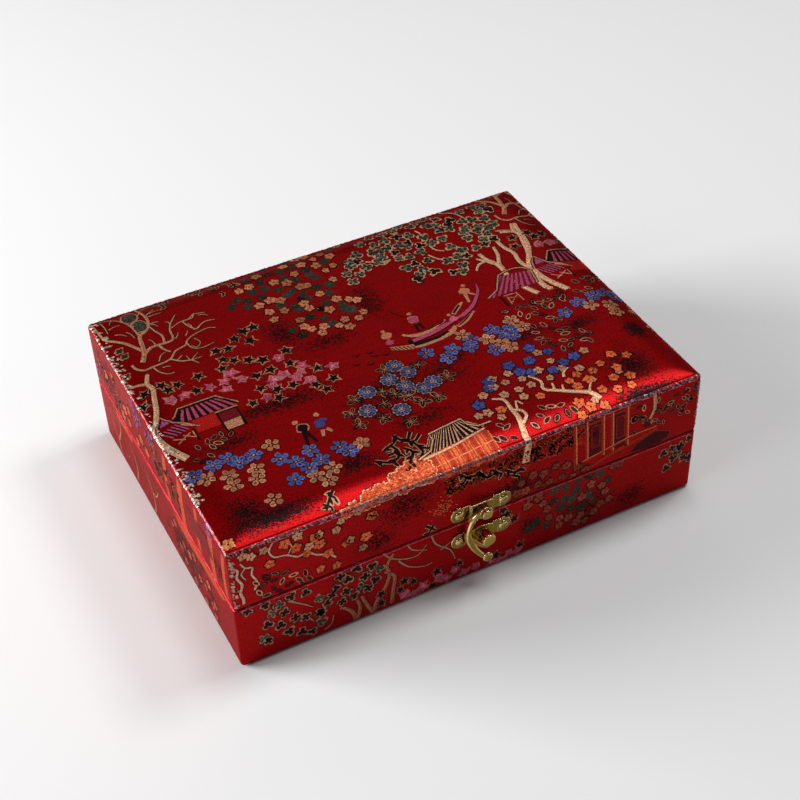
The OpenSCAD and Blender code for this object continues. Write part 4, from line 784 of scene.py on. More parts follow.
def front_wall(f):
    """What the cloth shows over the front edge and down the lid's front."""
    # pagoda roof and its orange walls, which run over the edge
    f.patch([(84, 141), (110, 138), (111, 152), (84, 152)], (0.42, 0.05, 0.02), 0.04)
    striped_roof(f, [(80, 141.4), (86, 139.4), (89.4, 134.6), (89.4, 131), (104.6, 129.4), (105.4, 133.4), (108.6, 136), (114, 136)], [(82.4, 141), (88, 140.6), (97, 139.8), (110.6, 137)], [(89.4, 131.4), (104.4, 130)], 17, CREAM, INK, CREAM, 0.36)
    f.ribbon([(81.4, 142), (96, 140.8), (110, 138.2)], [0.9, 0.9, 0.9], CREAM, 0.12)
    for u, tone in ((85, EMBER), (88, ORANGE), (91, EMBER), (94, ORANGE), (97, EMBER), (100, ORANGE), (103, EMBER), (106, ORANGE), (109, EMBER)):
        f.ribbon([(u, 141.8 - (u - 84) * 0.1), (u + 0.2, 152.5)], [1.3, 1.3], tone, 0.07, 1)
        f.ribbon([(u + 1.4, 142.4 - (u - 84) * 0.1), (u + 1.6, 152)], [0.3, 0.3], (0.66, 0.18, 0.07), 0.09, 1)
    f.ribbon([(84.4, 146.6), (110, 144.6)], [0.45, 0.45], (0.66, 0.18, 0.07), 0.1, 1)
    spots = np.stack([39 + 44 * rng.random(190), 140.6 + 10.5 * rng.random(190)], -1)
    spots = spots[spots[:, 1] > 153.5 - (spots[:, 0] - 36) * 0.30]
    wide, turn = 1.5 + 0.8 * rng.random(len(spots)), rng.random(len(spots)) * TAU
    f.blades(spots, wide + 0.9, 5, -0.3, turn, DARK, 0.03, ragged=0.05)
    f.blades(spots, wide + 0.5, 5, -0.3, turn, (0.68, 0.36, 0.2), 0.04, ragged=0.08)
    f.blades(spots, wide, 5, -0.3, turn, shades((0.50, 0.062, 0.018), len(spots), 0.15), 0.055, ragged=0.1)
    f.blades(spots + 0.4, 0.6, 5, -0.45, turn, shades((0.62, 0.13, 0.045), len(spots), 0.3), 0.075, ragged=0.25)
    for _ in range(3):
        f.dots(spots + rng.standard_normal(spots.shape) * 1.2, 0.3 + 0.2 * rng.random(len(spots)), shades((0.62, 0.22, 0.09), 2 * len(spots), 0.3), 0.1)
    f.dots(spots + rng.standard_normal(spots.shape) * 1.3, 0.35 + 0.3 * rng.random(len(spots)), EMBER, 0.11)
    coral(f, [[(45.4, 140.6), (42.6, 143.6), (40, 147)], [(43, 141.6), (45, 144)], [(39.6, 144.6), (42, 146.6)]], 1.1)
    posies(f, [(2.6, 145.4)], FLAME, 2.6)
    # left of the front: branch with red blossoms, leaf outlines
    pinkish = (0.52, 0.27, 0.20)
    f.branch([(0.6, 152.6), (1.6, 156), (3.4, 158.6), (2.8, 162), (4.4, 166), (3.4, 170), (4.2, 174), (3.4, 180)], 0.9, 1.3, pinkish)
    f.branch([(4.8, 155.6), (6.4, 158.4), (9, 159.6), (8.4, 163), (10, 167), (8.8, 171)], 0.7, 1.0, pinkish)
    f.branch([(6.2, 158.6), (4.6, 161), (6.0, 164.2)], 0.6, 0.5, pinkish)
    f.branch([(17.4, 151.4), (15.8, 155), (17.6, 158.6), (22, 159.8), (26.4, 162.8), (30, 162.2), (33.4, 165.4), (38, 167.4), (41, 170.6)], 0.75, 0.95, pinkish)
    f.branch([(22.6, 160), (24.4, 156.6), (23.4, 154)], 0.6, 0.4, pinkish)
    f.branch([(30, 162.4), (31.8, 158.8), (34.6, 158)], 0.6, 0.4, pinkish)
    posies(f, [(6, 152.4), (9, 154), (14, 153.4), (27, 152.6), (35, 156), (42, 157), (44, 153.4), (51, 152), (31, 160), (47, 164.6), (52, 171)], TAN, 1.9)
    posies(f, [(15.6, 161), (22, 154), (33.6, 156.4), (30, 163), (35, 161), (45.4, 165.4), (56, 156.6), (53.4, 166), (34.6, 173.4), (41, 174.8), (38, 167), (56.6, 157), (26, 158)], ORANGE, 2.2)
    seeds(f, [(9.6, 168), (12, 170.4), (10.4, 173.4), (13.6, 167), (16.6, 170), (16, 174), (19.4, 172), (18, 176.4), (22, 175), (24, 171), (26, 174.6), (28.6, 172.4), (30, 176), (13, 176), (20.6, 168.4), (17, 166.6), (27, 177)], TAN, 1.0)
    # middle: leaves, building and columns
    coral(f, [[(92, 153), (95, 156), (93, 159)], [(95, 156), (99, 156.6), (103, 158)], [(100, 155), (104, 160), (108, 159)], [(106, 157), (110, 161)], [(112, 160), (116, 163), (119, 162)], [(115, 164), (118, 166)], [(81, 174), (79, 177)], [(78, 173), (82, 177)]], 1.25)
    spots = np.stack([86 + 66 * rng.random(260), 151.2 + 10.5 * rng.random(260)], -1)
    f.blades(spots, 1.1 + 0.7 * rng.random(260), 5, -0.4, rng.random(260) * TAU, shades(EMBER, 260, 0.4), 0.035, ragged=0.16)
    f.dots(spots + 0.4, 0.4 + 0.3 * rng.random(260), shades((0.45, 0.07, 0.03), 520, 0.3), 0.06)
    f.dots(spots[::2] + rng.standard_normal(spots[::2].shape), 0.6 + 0.4 * rng.random(130), DARK, 0.07)
    for u in (142, 147, 154.4, 158.6, 165.4):
        f.ribbon([(u, 151.4), (u + 0.6, 160), (u + 1.2, 172)], [1.7, 1.6, 1.6], EMBER, 0.07, 2)
        f.ribbon([(u + 0.5, 151.4), (u + 1.1, 160), (u + 1.7, 172)], [0.45, 0.45, 0.45], FLAME, 0.09, 2)
    f.patch([(148.6, 152), (154, 152), (155, 171), (149.6, 171)], (0.075, 0.003, 0.006), 0.05)
    f.patch([(159.6, 152), (165, 152), (166, 171), (160.6, 171)], (0.075, 0.003, 0.006), 0.05)
    for u, w in ((149.6, 3.6), (160.8, 3.6)):
        f.patch([(u, 155), (u + w, 155), (u + w + 0.6, 166), (u + 0.6, 166)], (0.11, 0.004, 0.008), 0.06, EMBER, 0.35)
    f.ribbon([(146, 171.6), (156, 170), (168, 168), (180, 168)], [1.0, 1.1, 1.1, 0.8], EMBER, 0.1)
    f.ribbon([(146, 171.2), (156, 169.6), (168, 167.6), (180, 167.6)], [0.35, 0.35, 0.35, 0.3], FLAME, 0.12)
    f.ribbon([(150, 176), (160, 173), (172, 171), (181, 169)], [1.2, 1.6, 1.6, 0.8], EMBER, 0.07)
    f.ribbon([(141, 153.4), (152, 153), (168, 152.6)], [0.8, 0.8, 0.8], EMBER, 0.08)
    f.patch([(168, 177), (171, 173), (180, 170), (187, 173), (186, 178)], (0.04, 0.003, 0.005), 0.05, EMBER, 0.4)
    f.branch([(178, 150.6), (178.4, 158), (176.6, 163), (178, 165)], 1.8, 1.2, TAN)
    seeds(f, np.stack([168 + 31 * rng.random(44), 153 + 14 * rng.random(44)], -1), (0.44, 0.2, 0.13), 0.85)
    posies(f, [(119, 170), (124, 168), (129, 169.6), (134, 168), (139, 170), (144, 173), (121, 175), (126.4, 174), (131.6, 175), (137, 175), (142, 177.6), (148, 176.4), (117, 174.6), (128, 178.4), (134, 179)], RUST, 2.0)
    glow = np.array((85.2, 166.5)) + 2.1 * rng.standard_normal((90, 2))
    f.dots(glow, 0.5 + 0.4 * rng.random(90), shades((0.66, 0.11, 0.04), 180, 0.3), 0.05)
    f.cloud(70, 158, 12, 8, 500)
    f.cloud(118, 171, 14, 5, 500)
    f.cloud(58, 171, 8, 6, 260)


def other_walls(f):
    """The lid's left, right and back walls, where the same landscape runs on."""
    # left wall: orange walls and roof bands near the front, blossoms and dark sprigs towards the back
    for v, w in ((146, 3.0), (134, 4.4), (120, 3.0), (104, 5.0), (88, 3.4)):
        f.ribbon([(-2, v), (-14, v - 2), (-27.8, v - 1)], [w, w * 1.1, w], ORANGE, 0.045)
    f.patch([(-10, 108), (-9, 130), (-17, 134), (-20, 110)], (0.16, 0.02, 0.02), 0.07)
    coral(f, [[(-10, 96), (-14, 92), (-18, 94)], [(-12, 100), (-16, 98), (-22, 100)], [(-8, 90), (-12, 88)], [(-17, 86), (-22, 90)]], 1.5)
    blossoms(f, [(-5, 74), (-9, 68), (-6, 60), (-11, 54), (-4, 53), (-3, 132), (-20, 5)], (0.28, 0.12, 0.26), MAUVE)
    posies(f, [(-16, 40), (-20, 44), (-22, 36), (-12, 46), (-24, 52), (-18, 58), (-8, 28), (-14, 18), (-20, 64)], FLAME, 2.4)
    coral(f, [[(-16, 34), (-22, 31), (-26, 34)], [(-24, 28), (-20, 26)]], 1.4)
    seeds(f, np.stack([-26 + 20 * rng.random(24), 6 + 26 * rng.random(24)], -1), TAN, 1.0)
    stars(f, np.stack([-24 + 18 * rng.random(9), 70 + 12 * rng.random(9)], -1))
    # right wall
    f.branch([(205, 12), (210, 14), (218, 10), (227, 12)], 1.2, 2.2, CREAM)
    ivy(f, np.stack([203 + 20 * rng.random(22), 2 + 26 * rng.random(22)], -1))
    stars(f, np.stack([204 + 18 * rng.random(12), 34 + 20 * rng.random(12)], -1))
    pink_stars(f, np.stack([204 + 20 * rng.random(9), 36 + 22 * rng.random(9)], -1))
    blossoms(f, np.stack([205 + 18 * rng.random(12), 66 + 26 * rng.random(12)], -1))
    tan_blossoms(f, np.stack([205 + 18 * rng.random(7), 70 + 24 * rng.random(7)], -1))
    posies(f, np.stack([204 + 20 * rng.random(16), 112 + 30 * rng.random(16)], -1), ORANGE, 2.2)
    coral(f, [[(208, 104), (212, 100), (217, 102)], [(211, 107), (216, 106), (221, 109)], [(205, 99), (208, 103)]], 1.4)
    # back wall
    ivy(f, np.stack([112 + 60 * rng.random(44), -4 - 20 * rng.random(44)], -1))
    for u in (134, 150, 163):
        f.branch([(u, -26), (u + 2, -18), (u - 1, -10), (u + 2, -1)], 2.4, 1.0, CREAM)
    posies(f, np.stack([56 + 34 * rng.random(30), -3 - 22 * rng.random(30)], -1), GOLD)
    tufts(f, np.stack([54 + 38 * rng.random(34), -3 - 22 * rng.random(34)], -1))
    stars(f, np.stack([8 + 34 * rng.random(12), -4 - 20 * rng.random(12)], -1))
    blossoms(f, np.stack([176 + 20 * rng.random(9), -5 - 18 * rng.random(9)], -1))
    for c in ((-14, 20, 8, 16, 300), (-16, 140, 6, 10, 200), (214, 96, 8, 14, 300), (96, -14, 12, 8, 300), (48, -14, 8, 8, 200)):
        f.cloud(*c)


def base_figure():
    """The landscape round the base: the same trees, stars and bushes, cut as a long strip."""
    f = Figure()
    for c in ((150, 168, 14, 9, 500), (170, 172, 8, 6, 260), (124, 166, 6, 6, 200), (-16, 95, 8, 14, 400), (214, 60, 8, 18, 300), (70, -14, 18, 8, 300)):
        f.cloud(*c)
    # front
    for p in ([(54, 181), (56, 174), (60, 168), (62, 162), (61, 157), (64, 152)], [(47, 181), (46, 175), (43, 171), (41, 170)], [(47, 181), (49, 174), (48, 169)], [(55, 181), (52, 174), (50, 168)], [(62, 181), (63, 172), (64, 164), (60, 160)]):
        f.branch(p, 2.1, 1.3, (0.36, 0.11, 0.06))
    for p in ([(34, 178), (37, 176), (38, 172)], [(60, 150), (63, 154), (68, 157), (74, 158), (78, 154)], [(66, 157), (70, 162), (76, 165), (80, 165)], [(70, 150), (72, 154), (78, 157)], [(80, 150), (82, 156), (88, 162), (90, 168)], [(84, 160), (88, 158)], [(21, 155), (27, 160), (30, 163)], [(24, 165), (28, 168), (30, 171)]):
        f.branch(p, 1.0, 0.5, (0.40, 0.15, 0.09))
    ivy(f, [(5, 152), (12, 152.6), (17, 155), (22, 153), (14, 158), (19, 160), (12, 163), (10, 169.6), (17, 166), (23, 165), (28, 154), (33, 160), (27, 167), (33, 167.4), (11.4, 171.6), (20, 171), (42, 153), (45, 156), (40, 158), (49, 152), (52, 158), (55, 154), (58, 157), (44, 162), (50, 162.6), (53, 165), (38, 161), (42, 166.6), (47, 166), (33, 168), (36, 164), (56, 162), (25, 174), (29, 176), (33, 173), (185, 156), (189, 155), (193, 155.4), (197, 153), (190, 161), (195, 162.6), (187, 165), (198, 164), (192, 158)], 0.75, 2.0, (0.36, 0.19, 0.12))
    stars(f, [(58, 171), (68, 169), (72, 171.4), (82, 171), (92, 171.4), (80, 178), (108, 175.4), (113, 155), (119, 174.6), (111, 152), (116, 159), (58, 176), (66, 173)], edge=(0.36, 0.14, 0.09), size=2.4)
    pink_stars(f, [(68, 177), (72, 179), (76, 176), (86, 177), (90, 174), (94, 178), (114, 177.4), (118, 178), (99, 177), (106, 178), (83, 175), (110, 179.6)])
    posies(f, [(123, 151), (127, 153), (129, 157), (122, 155), (131, 161), (132, 166), (137, 169), (141, 170.6), (147, 162), (151, 157), (156, 160), (158, 164), (156, 170), (147, 172), (149, 176), (137, 173), (153, 173), (160, 169), (164, 152), (161, 151.6), (145, 175)], (0.26, 0.06, 0.035), 2.15)
    tufts(f, [(134, 152), (139, 153), (145, 152), (134, 158), (139, 159), (144, 157), (150, 162), (126, 166), (137, 163), (142, 166), (147, 168), (152, 166), (131, 170), (142, 161), (150, 152), (155, 153), (123, 168), (159, 158)], MOSS)
    # left
    for p in ([(-28, 60), (-20, 62), (-10, 58), (-4, 54)], [(-26, 40), (-16, 42), (-8, 36)], [(-30, 20), (-20, 18), (-6, 12)], [(-16, 61), (-14, 66), (-8, 70)], [(-20, 19), (-12, 24), (-4, 26)]):
        f.branch(p, 1.8, 0.7, TAN)
    for _ in range(26):
        p = np.array([-4 - 22 * rng.random(), 6 + 74 * rng.random()])
        q = p + 5 * (rng.random(2) - 0.5) * 2
        f.branch([p, (p + q) / 2 + 0.6, q], 0.8, 0.4, (0.34, 0.15, 0.08))
    posies(f, [(-9, 88), (-13, 84), (-19, 92), (-23, 96), (-14, 102), (-10, 108), (-18, 112), (-25, 106), (-17, 118), (-12, 122), (-27, 116), (-22, 124), (-19, 127), (-26, 126), (-14, 96)], (0.52, 0.16, 0.10), 2.1)
    tufts(f, [(-12, 92), (-16, 97), (-8, 98), (-20, 102), (-13, 113), (-22, 110), (-24, 120), (-16, 124), (-21, 87), (-8, 116), (-10, 104), (-27, 101), (-17, 107), (-26, 91)], MOSS, 2.2)
    f.patch([(-1, 88), (-1, 142), (-5, 138), (-6, 96)], ORANGE, 0.05)
    f.patch([(-1, 20), (-1, 44), (-4, 42), (-4, 24)], ORANGE, 0.05)
    # right
    posies(f, np.stack([204 + 22 * rng.random(22), 62 + 44 * rng.random(22)], -1), (0.5, 0.15, 0.08))
    tufts(f, np.stack([204 + 22 * rng.random(24), 60 + 44 * rng.random(24)], -1))
    stars(f, np.stack([204 + 22 * rng.random(14), 112 + 34 * rng.random(14)], -1))
    pink_stars(f, np.stack([204 + 22 * rng.random(10), 114 + 32 * rng.random(10)], -1))
    # painted highlight along the base's rim, front and left, where the seam's lower edge catches the light
    f.painted_rim_highlight(3 + 194 * rng.random(260), np.full(260, DEEP), 0.0, (0.82, 0.09, 0.13), 0.5)
    f.painted_rim_highlight(np.zeros(120), 3 + 144 * rng.random(120), math.pi / 2, (0.80, 0.12, 0.13), 0.5)
    for v in (10, 26, 44):
        f.branch([(228, v), (220, v + 3), (212, v - 2), (203, v + 2)], 2.2, 0.9, TAN)
    ivy(f, np.stack([204 + 20 * rng.random(26), 4 + 46 * rng.random(26)], -1))
    # back
    blossoms(f, np.stack([10 + 70 * rng.random(30), -4 - 22 * rng.random(30)], -1))
    tan_blossoms(f, np.stack([16 + 70 * rng.random(18), -4 - 22 * rng.random(18)], -1))
    stars(f, np.stack([92 + 34 * rng.random(16), -4 - 22 * rng.random(16)], -1))
    for u in (140, 156, 172):
        f.branch([(u, -30), (u + 2, -20), (u - 2, -12), (u + 1, -2)], 2.4, 1.0, TAN)
    ivy(f, np.stack([132 + 60 * rng.random(44), -4 - 22 * rng.random(44)], -1))
    return f


def fine_enough(tris, colours, lifts, padded_top):
    """Halves the sides of triangles that lie over a bend until they follow it: under 0.45 mm on the
    rounded edges and 1.3 mm on the roll."""
    for _ in range(6):
        sx = np.minimum(tris[..., 0], LONG - tris[..., 0])
        sy = np.minimum(tris[..., 1], DEEP - tris[..., 1])
        s, other = np.minimum(sx, sy), np.maximum(sx, sy)
        side = np.linalg.norm(tris - np.roll(tris, 1, 1), axis=-1).max(1)
        low, high = s.min(1), s.max(1)
        on_edge = (high > -1.7) & (low < 3.0) | (other.min(1) < 1.6) & (low < 0)
        on_roll = (high > 1.5) & (low < 13.5) if padded_top else np.zeros(len(s), bool)
        limit = np.where(on_edge, 0.5, np.where(on_roll, 1.3, 5.0 if padded_top else 50.0))
        big = side > limit
        if not big.any():
            break
        t, c, h = tris[big], colours[big], lifts[big]
        a, b, d = (t[:, i] for i in range(3))
        ab, bd, da = (a + b) / 2, (b + d) / 2, (d + a) / 2
        four = np.concatenate([np.stack(x, 1) for x in ((a, ab, da), (ab, b, bd), (da, bd, d), (ab, bd, da))])
        tris = np.concatenate([tris[~big], four])
        colours = np.concatenate([colours[~big], np.tile(c, (4, 1))])
        lifts = np.concatenate([lifts[~big], np.tile(h, 4)])
    order = np.argsort(lifts, kind="stable")
    return tris[order], colours[order], lifts[order]


def cover(name, course, padded_top, figure, lowest):
    """A cover: its ground and, just above it, its figure threads, all as one mesh on the cloth."""
    places, faces = cover_ground(course, padded_top)
    ground = wrap(places[:, 0], places[:, 1], 0.0, course, padded_top)
    tris, colours, lifts = figure.cut(-lowest, LONG + lowest, -lowest, DEEP + lowest)
    m = tris.mean(1)
    outside = (np.minimum(m[:, 0], LONG - m[:, 0]) < 0) & (np.minimum(m[:, 1], DEEP - m[:, 1]) < 0)
    on_top = (np.minimum(m[:, 0], LONG - m[:, 0]) > 0) & (np.minimum(m[:, 1], DEEP - m[:, 1]) > 0)
    keep = ~outside & (padded_top | ~on_top)
    tris, colours, lifts = fine_enough(tris[keep], colours[keep], lifts[keep], padded_top)
    turned = np.cross(tris[:, 1] - tris[:, 0], tris[:, 2] - tris[:, 0]) > 0
    tris[turned] = tris[turned][:, ::-1]
    flat = tris.reshape(-1, 2)
    thread = wrap(flat[:, 0], flat[:, 1], np.repeat(lifts, 3), course, padded_top)
    points = np.concatenate([ground, thread])
    faces = faces + [len(ground) + np.arange(len(flat)).reshape(-1, 3)]
    tint = np.concatenate([np.tile((0.31, 0.0012, 0.0025), (len(ground), 1)), np.repeat(colours, 3, 0)])
    on_cloth = np.concatenate([places, flat])
    # painted highlight blended into the tint along the cover's bends
    tint = painted_edge_highlight(on_cloth, tint, padded_top)
    obj = make(
        name,
        points,
        faces,
        fields={
            "tint": np.c_[tint, np.ones(len(tint))],
            "floss": np.r_[np.zeros(len(ground)), np.ones(len(thread))],
            "cloth": np.c_[on_cloth, np.zeros(len(on_cloth))],
        },
    )
    layer = obj.data.uv_layers.new(name="OFBake")
    corner = np.zeros(len(obj.data.loops), np.int32)
    obj.data.loops.foreach_get("vertex_index", corner)
    layer.uv.foreach_set("vector", ((on_cloth[corner] + (48, 73)) / 296).astype(np.float32).ravel())
    return obj


# Materials ---------------------------------------------------------------------------------------


class Value:
    """A number on a socket, so that shader maths is written as an expression."""

    def __init__(self, tree, socket):
        self.tree, self.socket = tree, socket

    def _do(self, operation, *values):
        out = self.tree.node("ShaderNodeMath", {"operation": operation}, dict(enumerate(values)))
        return Value(self.tree, out.outputs[0])

    def __add__(self, other):
        return self._do("ADD", self, other)

    __radd__ = __add__

    def __sub__(self, other):
        return self._do("SUBTRACT", self, other)

    def __rsub__(self, other):
        return self._do("SUBTRACT", other, self)

    def __mul__(self, other):
        return self._do("MULTIPLY", self, other)

    __rmul__ = __mul__

    def __truediv__(self, other):
        return self._do("DIVIDE", self, other)

    def __pow__(self, other):
        return self._do("POWER", self, other)

    def sin(self):
        return self._do("SINE", self)

    def clamp(self):
        return self._do("MINIMUM", self._do("MAXIMUM", self, 0.0), 1.0)

    def above(self, other):
        return self._do("GREATER_THAN", self, other)


class Finish:
    """A material and its nodes. The constants of the shader are set on its own sockets."""

    def __init__(self, name, **constants):
        self.material = bpy.data.materials.new(name)
        self.material.use_nodes = True
        self.nodes, self.links = self.material.node_tree.nodes, self.material.node_tree.links
        self.shader = self.nodes["Principled BSDF"]
        for key, value in constants.items():
            self.put(self.shader, key.replace("_", " "), value)

    def put(self, node, key, value):
        socket = node.inputs[key]
        if isinstance(value, Value):
            value = value.socket
        if isinstance(value, bpy.types.NodeSocket):
            self.links.new(value, socket)
        elif hasattr(value, "__len__") and len(socket.default_value) == 4 and len(value) == 3:
            socket.default_value = (*value, 1.0)
        else:
            socket.default_value = value

    def node(self, kind, settings=None, inputs=None):
        """A node of any kind: settings first, then the values or links of its sockets."""
        made = self.nodes.new(kind)
        for key, value in (settings or {}).items():
            if key == "stops":
                ramp = made.color_ramp
                while len(ramp.elements) < len(value):
                    ramp.elements.new(0.5)
                for element, (place, colour) in zip(ramp.elements, value):
                    element.position, element.color = place, (*colour, 1.0)
            else:
                setattr(made, key, value)
        for key, value in (inputs or {}).items():
            self.put(made, key, value)
        return made

    def value(self, socket):
        return Value(self, socket)

    def noise(self, where, scale, detail=3.0, rough=0.55, stretch=None):
        if stretch:
            where = self.node("ShaderNodeMapping", None, {"Vector": where, "Scale": stretch}).outputs[0]
        made = self.node("ShaderNodeTexNoise", None, {"Vector": where, "Scale": scale, "Detail": detail, "Roughness": rough})
        return self.value(made.outputs["Fac"])

    def mix(self, factor, a, b, blend="MIX"):
        made = self.node("ShaderNodeMix", {"data_type": "RGBA", "blend_type": blend, "clamp_factor": True})
        self.put(made, 0, factor)
        self.put(made, 6, a)
        self.put(made, 7, b)
        return made.outputs[2]

    def bump(self, height, strength, distance=0.0001, under=None):
        inputs = {"Height": height, "Strength": strength, "Distance": distance}
        if under is not None:
            inputs["Normal"] = under
        return self.node("ShaderNodeBump", None, inputs).outputs[0]

    def set(self, **sockets):
        for key, value in sockets.items():
            self.put(self.shader, key.replace("_", " "), value)
        return self.material


def brocade():
    """Satin ground and figure threads: a fine twill of warp floats on the ground, thicker floating threads on
    the figure, whose colour changes from thread to thread, and a painted glint on their brightest spots."""
    m = Finish("red_brocade", Anisotropic=0.3, Specular_IOR_Level=0.12, Specular_Tint=(0.9, 0.2, 0.2, 1), Coat_Weight=0.05, Coat_Roughness=0.3)
    where = m.node("ShaderNodeAttribute", {"attribute_name": "cloth"}).outputs["Vector"]
    tint = m.node("ShaderNodeAttribute", {"attribute_name": "tint"}).outputs["Color"]
    floss = m.value(m.node("ShaderNodeAttribute", {"attribute_name": "floss"}).outputs["Fac"])
    axes = m.node("ShaderNodeSeparateXYZ", None, {0: where})
    u, v = m.value(axes.outputs[0]), m.value(axes.outputs[1])
    twill = ((u + v * 0.55) * (TAU / 0.62)).sin()
    ribs = (u * (TAU / 0.36)).sin()
    floats = ((v * (TAU / 0.42)).sin() + (u * (TAU / 0.8) + v * 2.0).sin()) * 0.5
    slub = m.noise(where, 0.9, 2.0, 0.6, (0.12, 1.0, 1.0))
    grain = m.noise(where, 1.5, 3.0, 0.7)
    coarse = m.noise(where, 0.75, 2.0, 0.6, (1.0, 1.5, 1.0))
    drift = m.noise(where, 0.035, 2.0)
    # painted glint: the brightest grain of the figure threads is lightened in the base colour as sparkles of light; the
    # rest of the factor is random thread tone
    painted_glint = ((grain - 0.56) * 7.0).clamp()
    tone_and_glint = 0.93 + (1 - floss) * ((grain - 0.5) * 2.6 + (slub - 0.5) * 0.7 + (drift - 0.5) * 0.35 + twill * 0.08)
    tone_and_glint = tone_and_glint + floss * ((grain - 0.5) * 2.6 + (coarse - 0.5) * 0.9 + painted_glint * 0.5)
    tinted = m.node("ShaderNodeVectorMath", {"operation": "SCALE"}, {0: tint, "Scale": tone_and_glint}).outputs[0]
    warmed = m.node("ShaderNodeVectorMath", {"operation": "MULTIPLY"}, {0: tinted, 1: (1.15, 0.6, 0.55)}).outputs[0]
    height = (1 - floss) * (twill * 0.4 + ribs * 0.3 + slub * 0.8 + grain * 0.4) + floss * (floats * 0.8 + grain * 1.2)
    return m.set(
        Base_Color=m.mix(floss * ((coarse - 0.5) * 4.0).clamp(), tinted, warmed),
        Metallic=0.8 - floss * 0.12,
        Roughness=0.31 + floss * 0.1 + (grain - 0.5) * 0.2,
        Normal=m.bump(height, 0.45, 0.00006),
    )


def satin():
    """Plain gold satin: fine warp lines with a soft sheen, a little drift in its colour."""
    m = Finish("gold_satin", Anisotropic=0.4, Sheen_Weight=0.2, Metallic=0.25)
    where = m.node("ShaderNodeTexCoord").outputs["Object"]
    fine = m.noise(where, 1500.0, 2.0, 0.6, (0.15, 1.0, 1.0))
    drift = m.noise(where, 22.0, 2.0)
    colour = m.mix(drift, (0.66, 0.40, 0.10), (0.80, 0.55, 0.17))
    return m.set(Base_Color=colour, Roughness=0.36 + fine * 0.14, Normal=m.bump(fine, 0.3, 0.00008))


def card(name, light, dark):
    """Grey board or paper: mottled, with short fibres."""
    m = Finish(name, Specular_IOR_Level=0.25)
    where = m.node("ShaderNodeTexCoord").outputs["Object"]
    fibre = m.noise(where, 700.0, 4.0, 0.65, (1.0, 0.25, 1.0))
    cloudy = m.noise(where, 40.0, 3.0)
    return m.set(Base_Color=m.mix(fibre * 0.7 + cloudy * 0.3, dark, light), Roughness=0.86 + fibre * 0.1, Normal=m.bump(fibre, 0.4, 0.0001))


def brass(name, light, dark, rough=0.2, marked=True):
    """Lacquered brass, olive-tarnished in soft clouds, with hair-fine scratches and a few pits. It is bright on the
    edges and sides that the latch pieces' attribute marks, partly edge wear and partly painted highlight, and dark on
    faces that look straight out, a painted dark reflection. Without that attribute, random clouds take its place."""
    m = Finish(name, Metallic=1.0, Specular_Tint=(1.0, 0.85, 0.5, 1))
    where = m.node("ShaderNodeTexCoord").outputs["Object"]
    if marked:
        worn = m.value(m.node("ShaderNodeAttribute", {"attribute_name": "worn"}).outputs["Fac"])
    else:
        worn = m.noise(where, 120.0, 2.0) * 1.2
    cloudy = m.noise(where, 330.0, 3.0, 0.6)
    pits = m.noise(where, 1900.0, 2.0, 0.6)
    hairs = m.noise(where, 900.0, 3.0, 0.7, (0.2, 1.0, 1.6))
    # dark share: random olive clouds plus the painted dark reflection where the brass faces straight out
    tarnish_and_dark_reflection = (1.12 - worn * 1.3 + (cloudy - 0.5) * 0.9).clamp()
    return m.set(
        Base_Color=m.mix(tarnish_and_dark_reflection, light, dark),
        Roughness=rough + tarnish_and_dark_reflection * 0.08 + (hairs - 0.5) * 0.12 + (pits - 0.5) * 0.08,
        Normal=m.bump(hairs * 0.6 + pits * 0.5, 0.12, 0.00006),
    )


red_brocade = brocade()
gold_satin = satin()
grey_board = card("grey_board", (0.52, 0.42, 0.30), (0.36, 0.28, 0.19))
dark_paper = card("dark_paper", (0.10, 0.03, 0.03), (0.05, 0.012, 0.014))
white_wadding = card("white_wadding", (0.86, 0.84, 0.78), (0.74, 0.72, 0.66))
# light: tone of edges and sides, partly edge wear and partly painted highlight; dark: olive clouds and the painted dark
# reflection on faces that look straight out
cast_brass = brass("cast_brass", (1.0, 0.77, 0.38), (0.24, 0.155, 0.035), 0.2)
sheet_brass = brass("sheet_brass", (0.98, 0.75, 0.35), (0.20, 0.135, 0.03), 0.2)
hinge_brass = brass("hinge_brass", (0.82, 0.62, 0.20), (0.38, 0.27, 0.05), 0.26, marked=False)
turned_brass = brass("turned_brass", (1.0, 0.78, 0.40), (0.33, 0.22, 0.055), 0.15)


# Pieces ------------------------------------------------------------------------------------------

lid_cover = cover("brocade_lid_cover", lid_course(), True, lid_figure(), 28.2)
finish_piece(lid_cover, "lid", red_brocade, "brocade", "lid_cover")
base_cover = cover("brocade_base_cover", base_course(), False, base_figure(), 30.0)
finish_piece(base_cover, "base", red_brocade, "brocade", "base_cover")


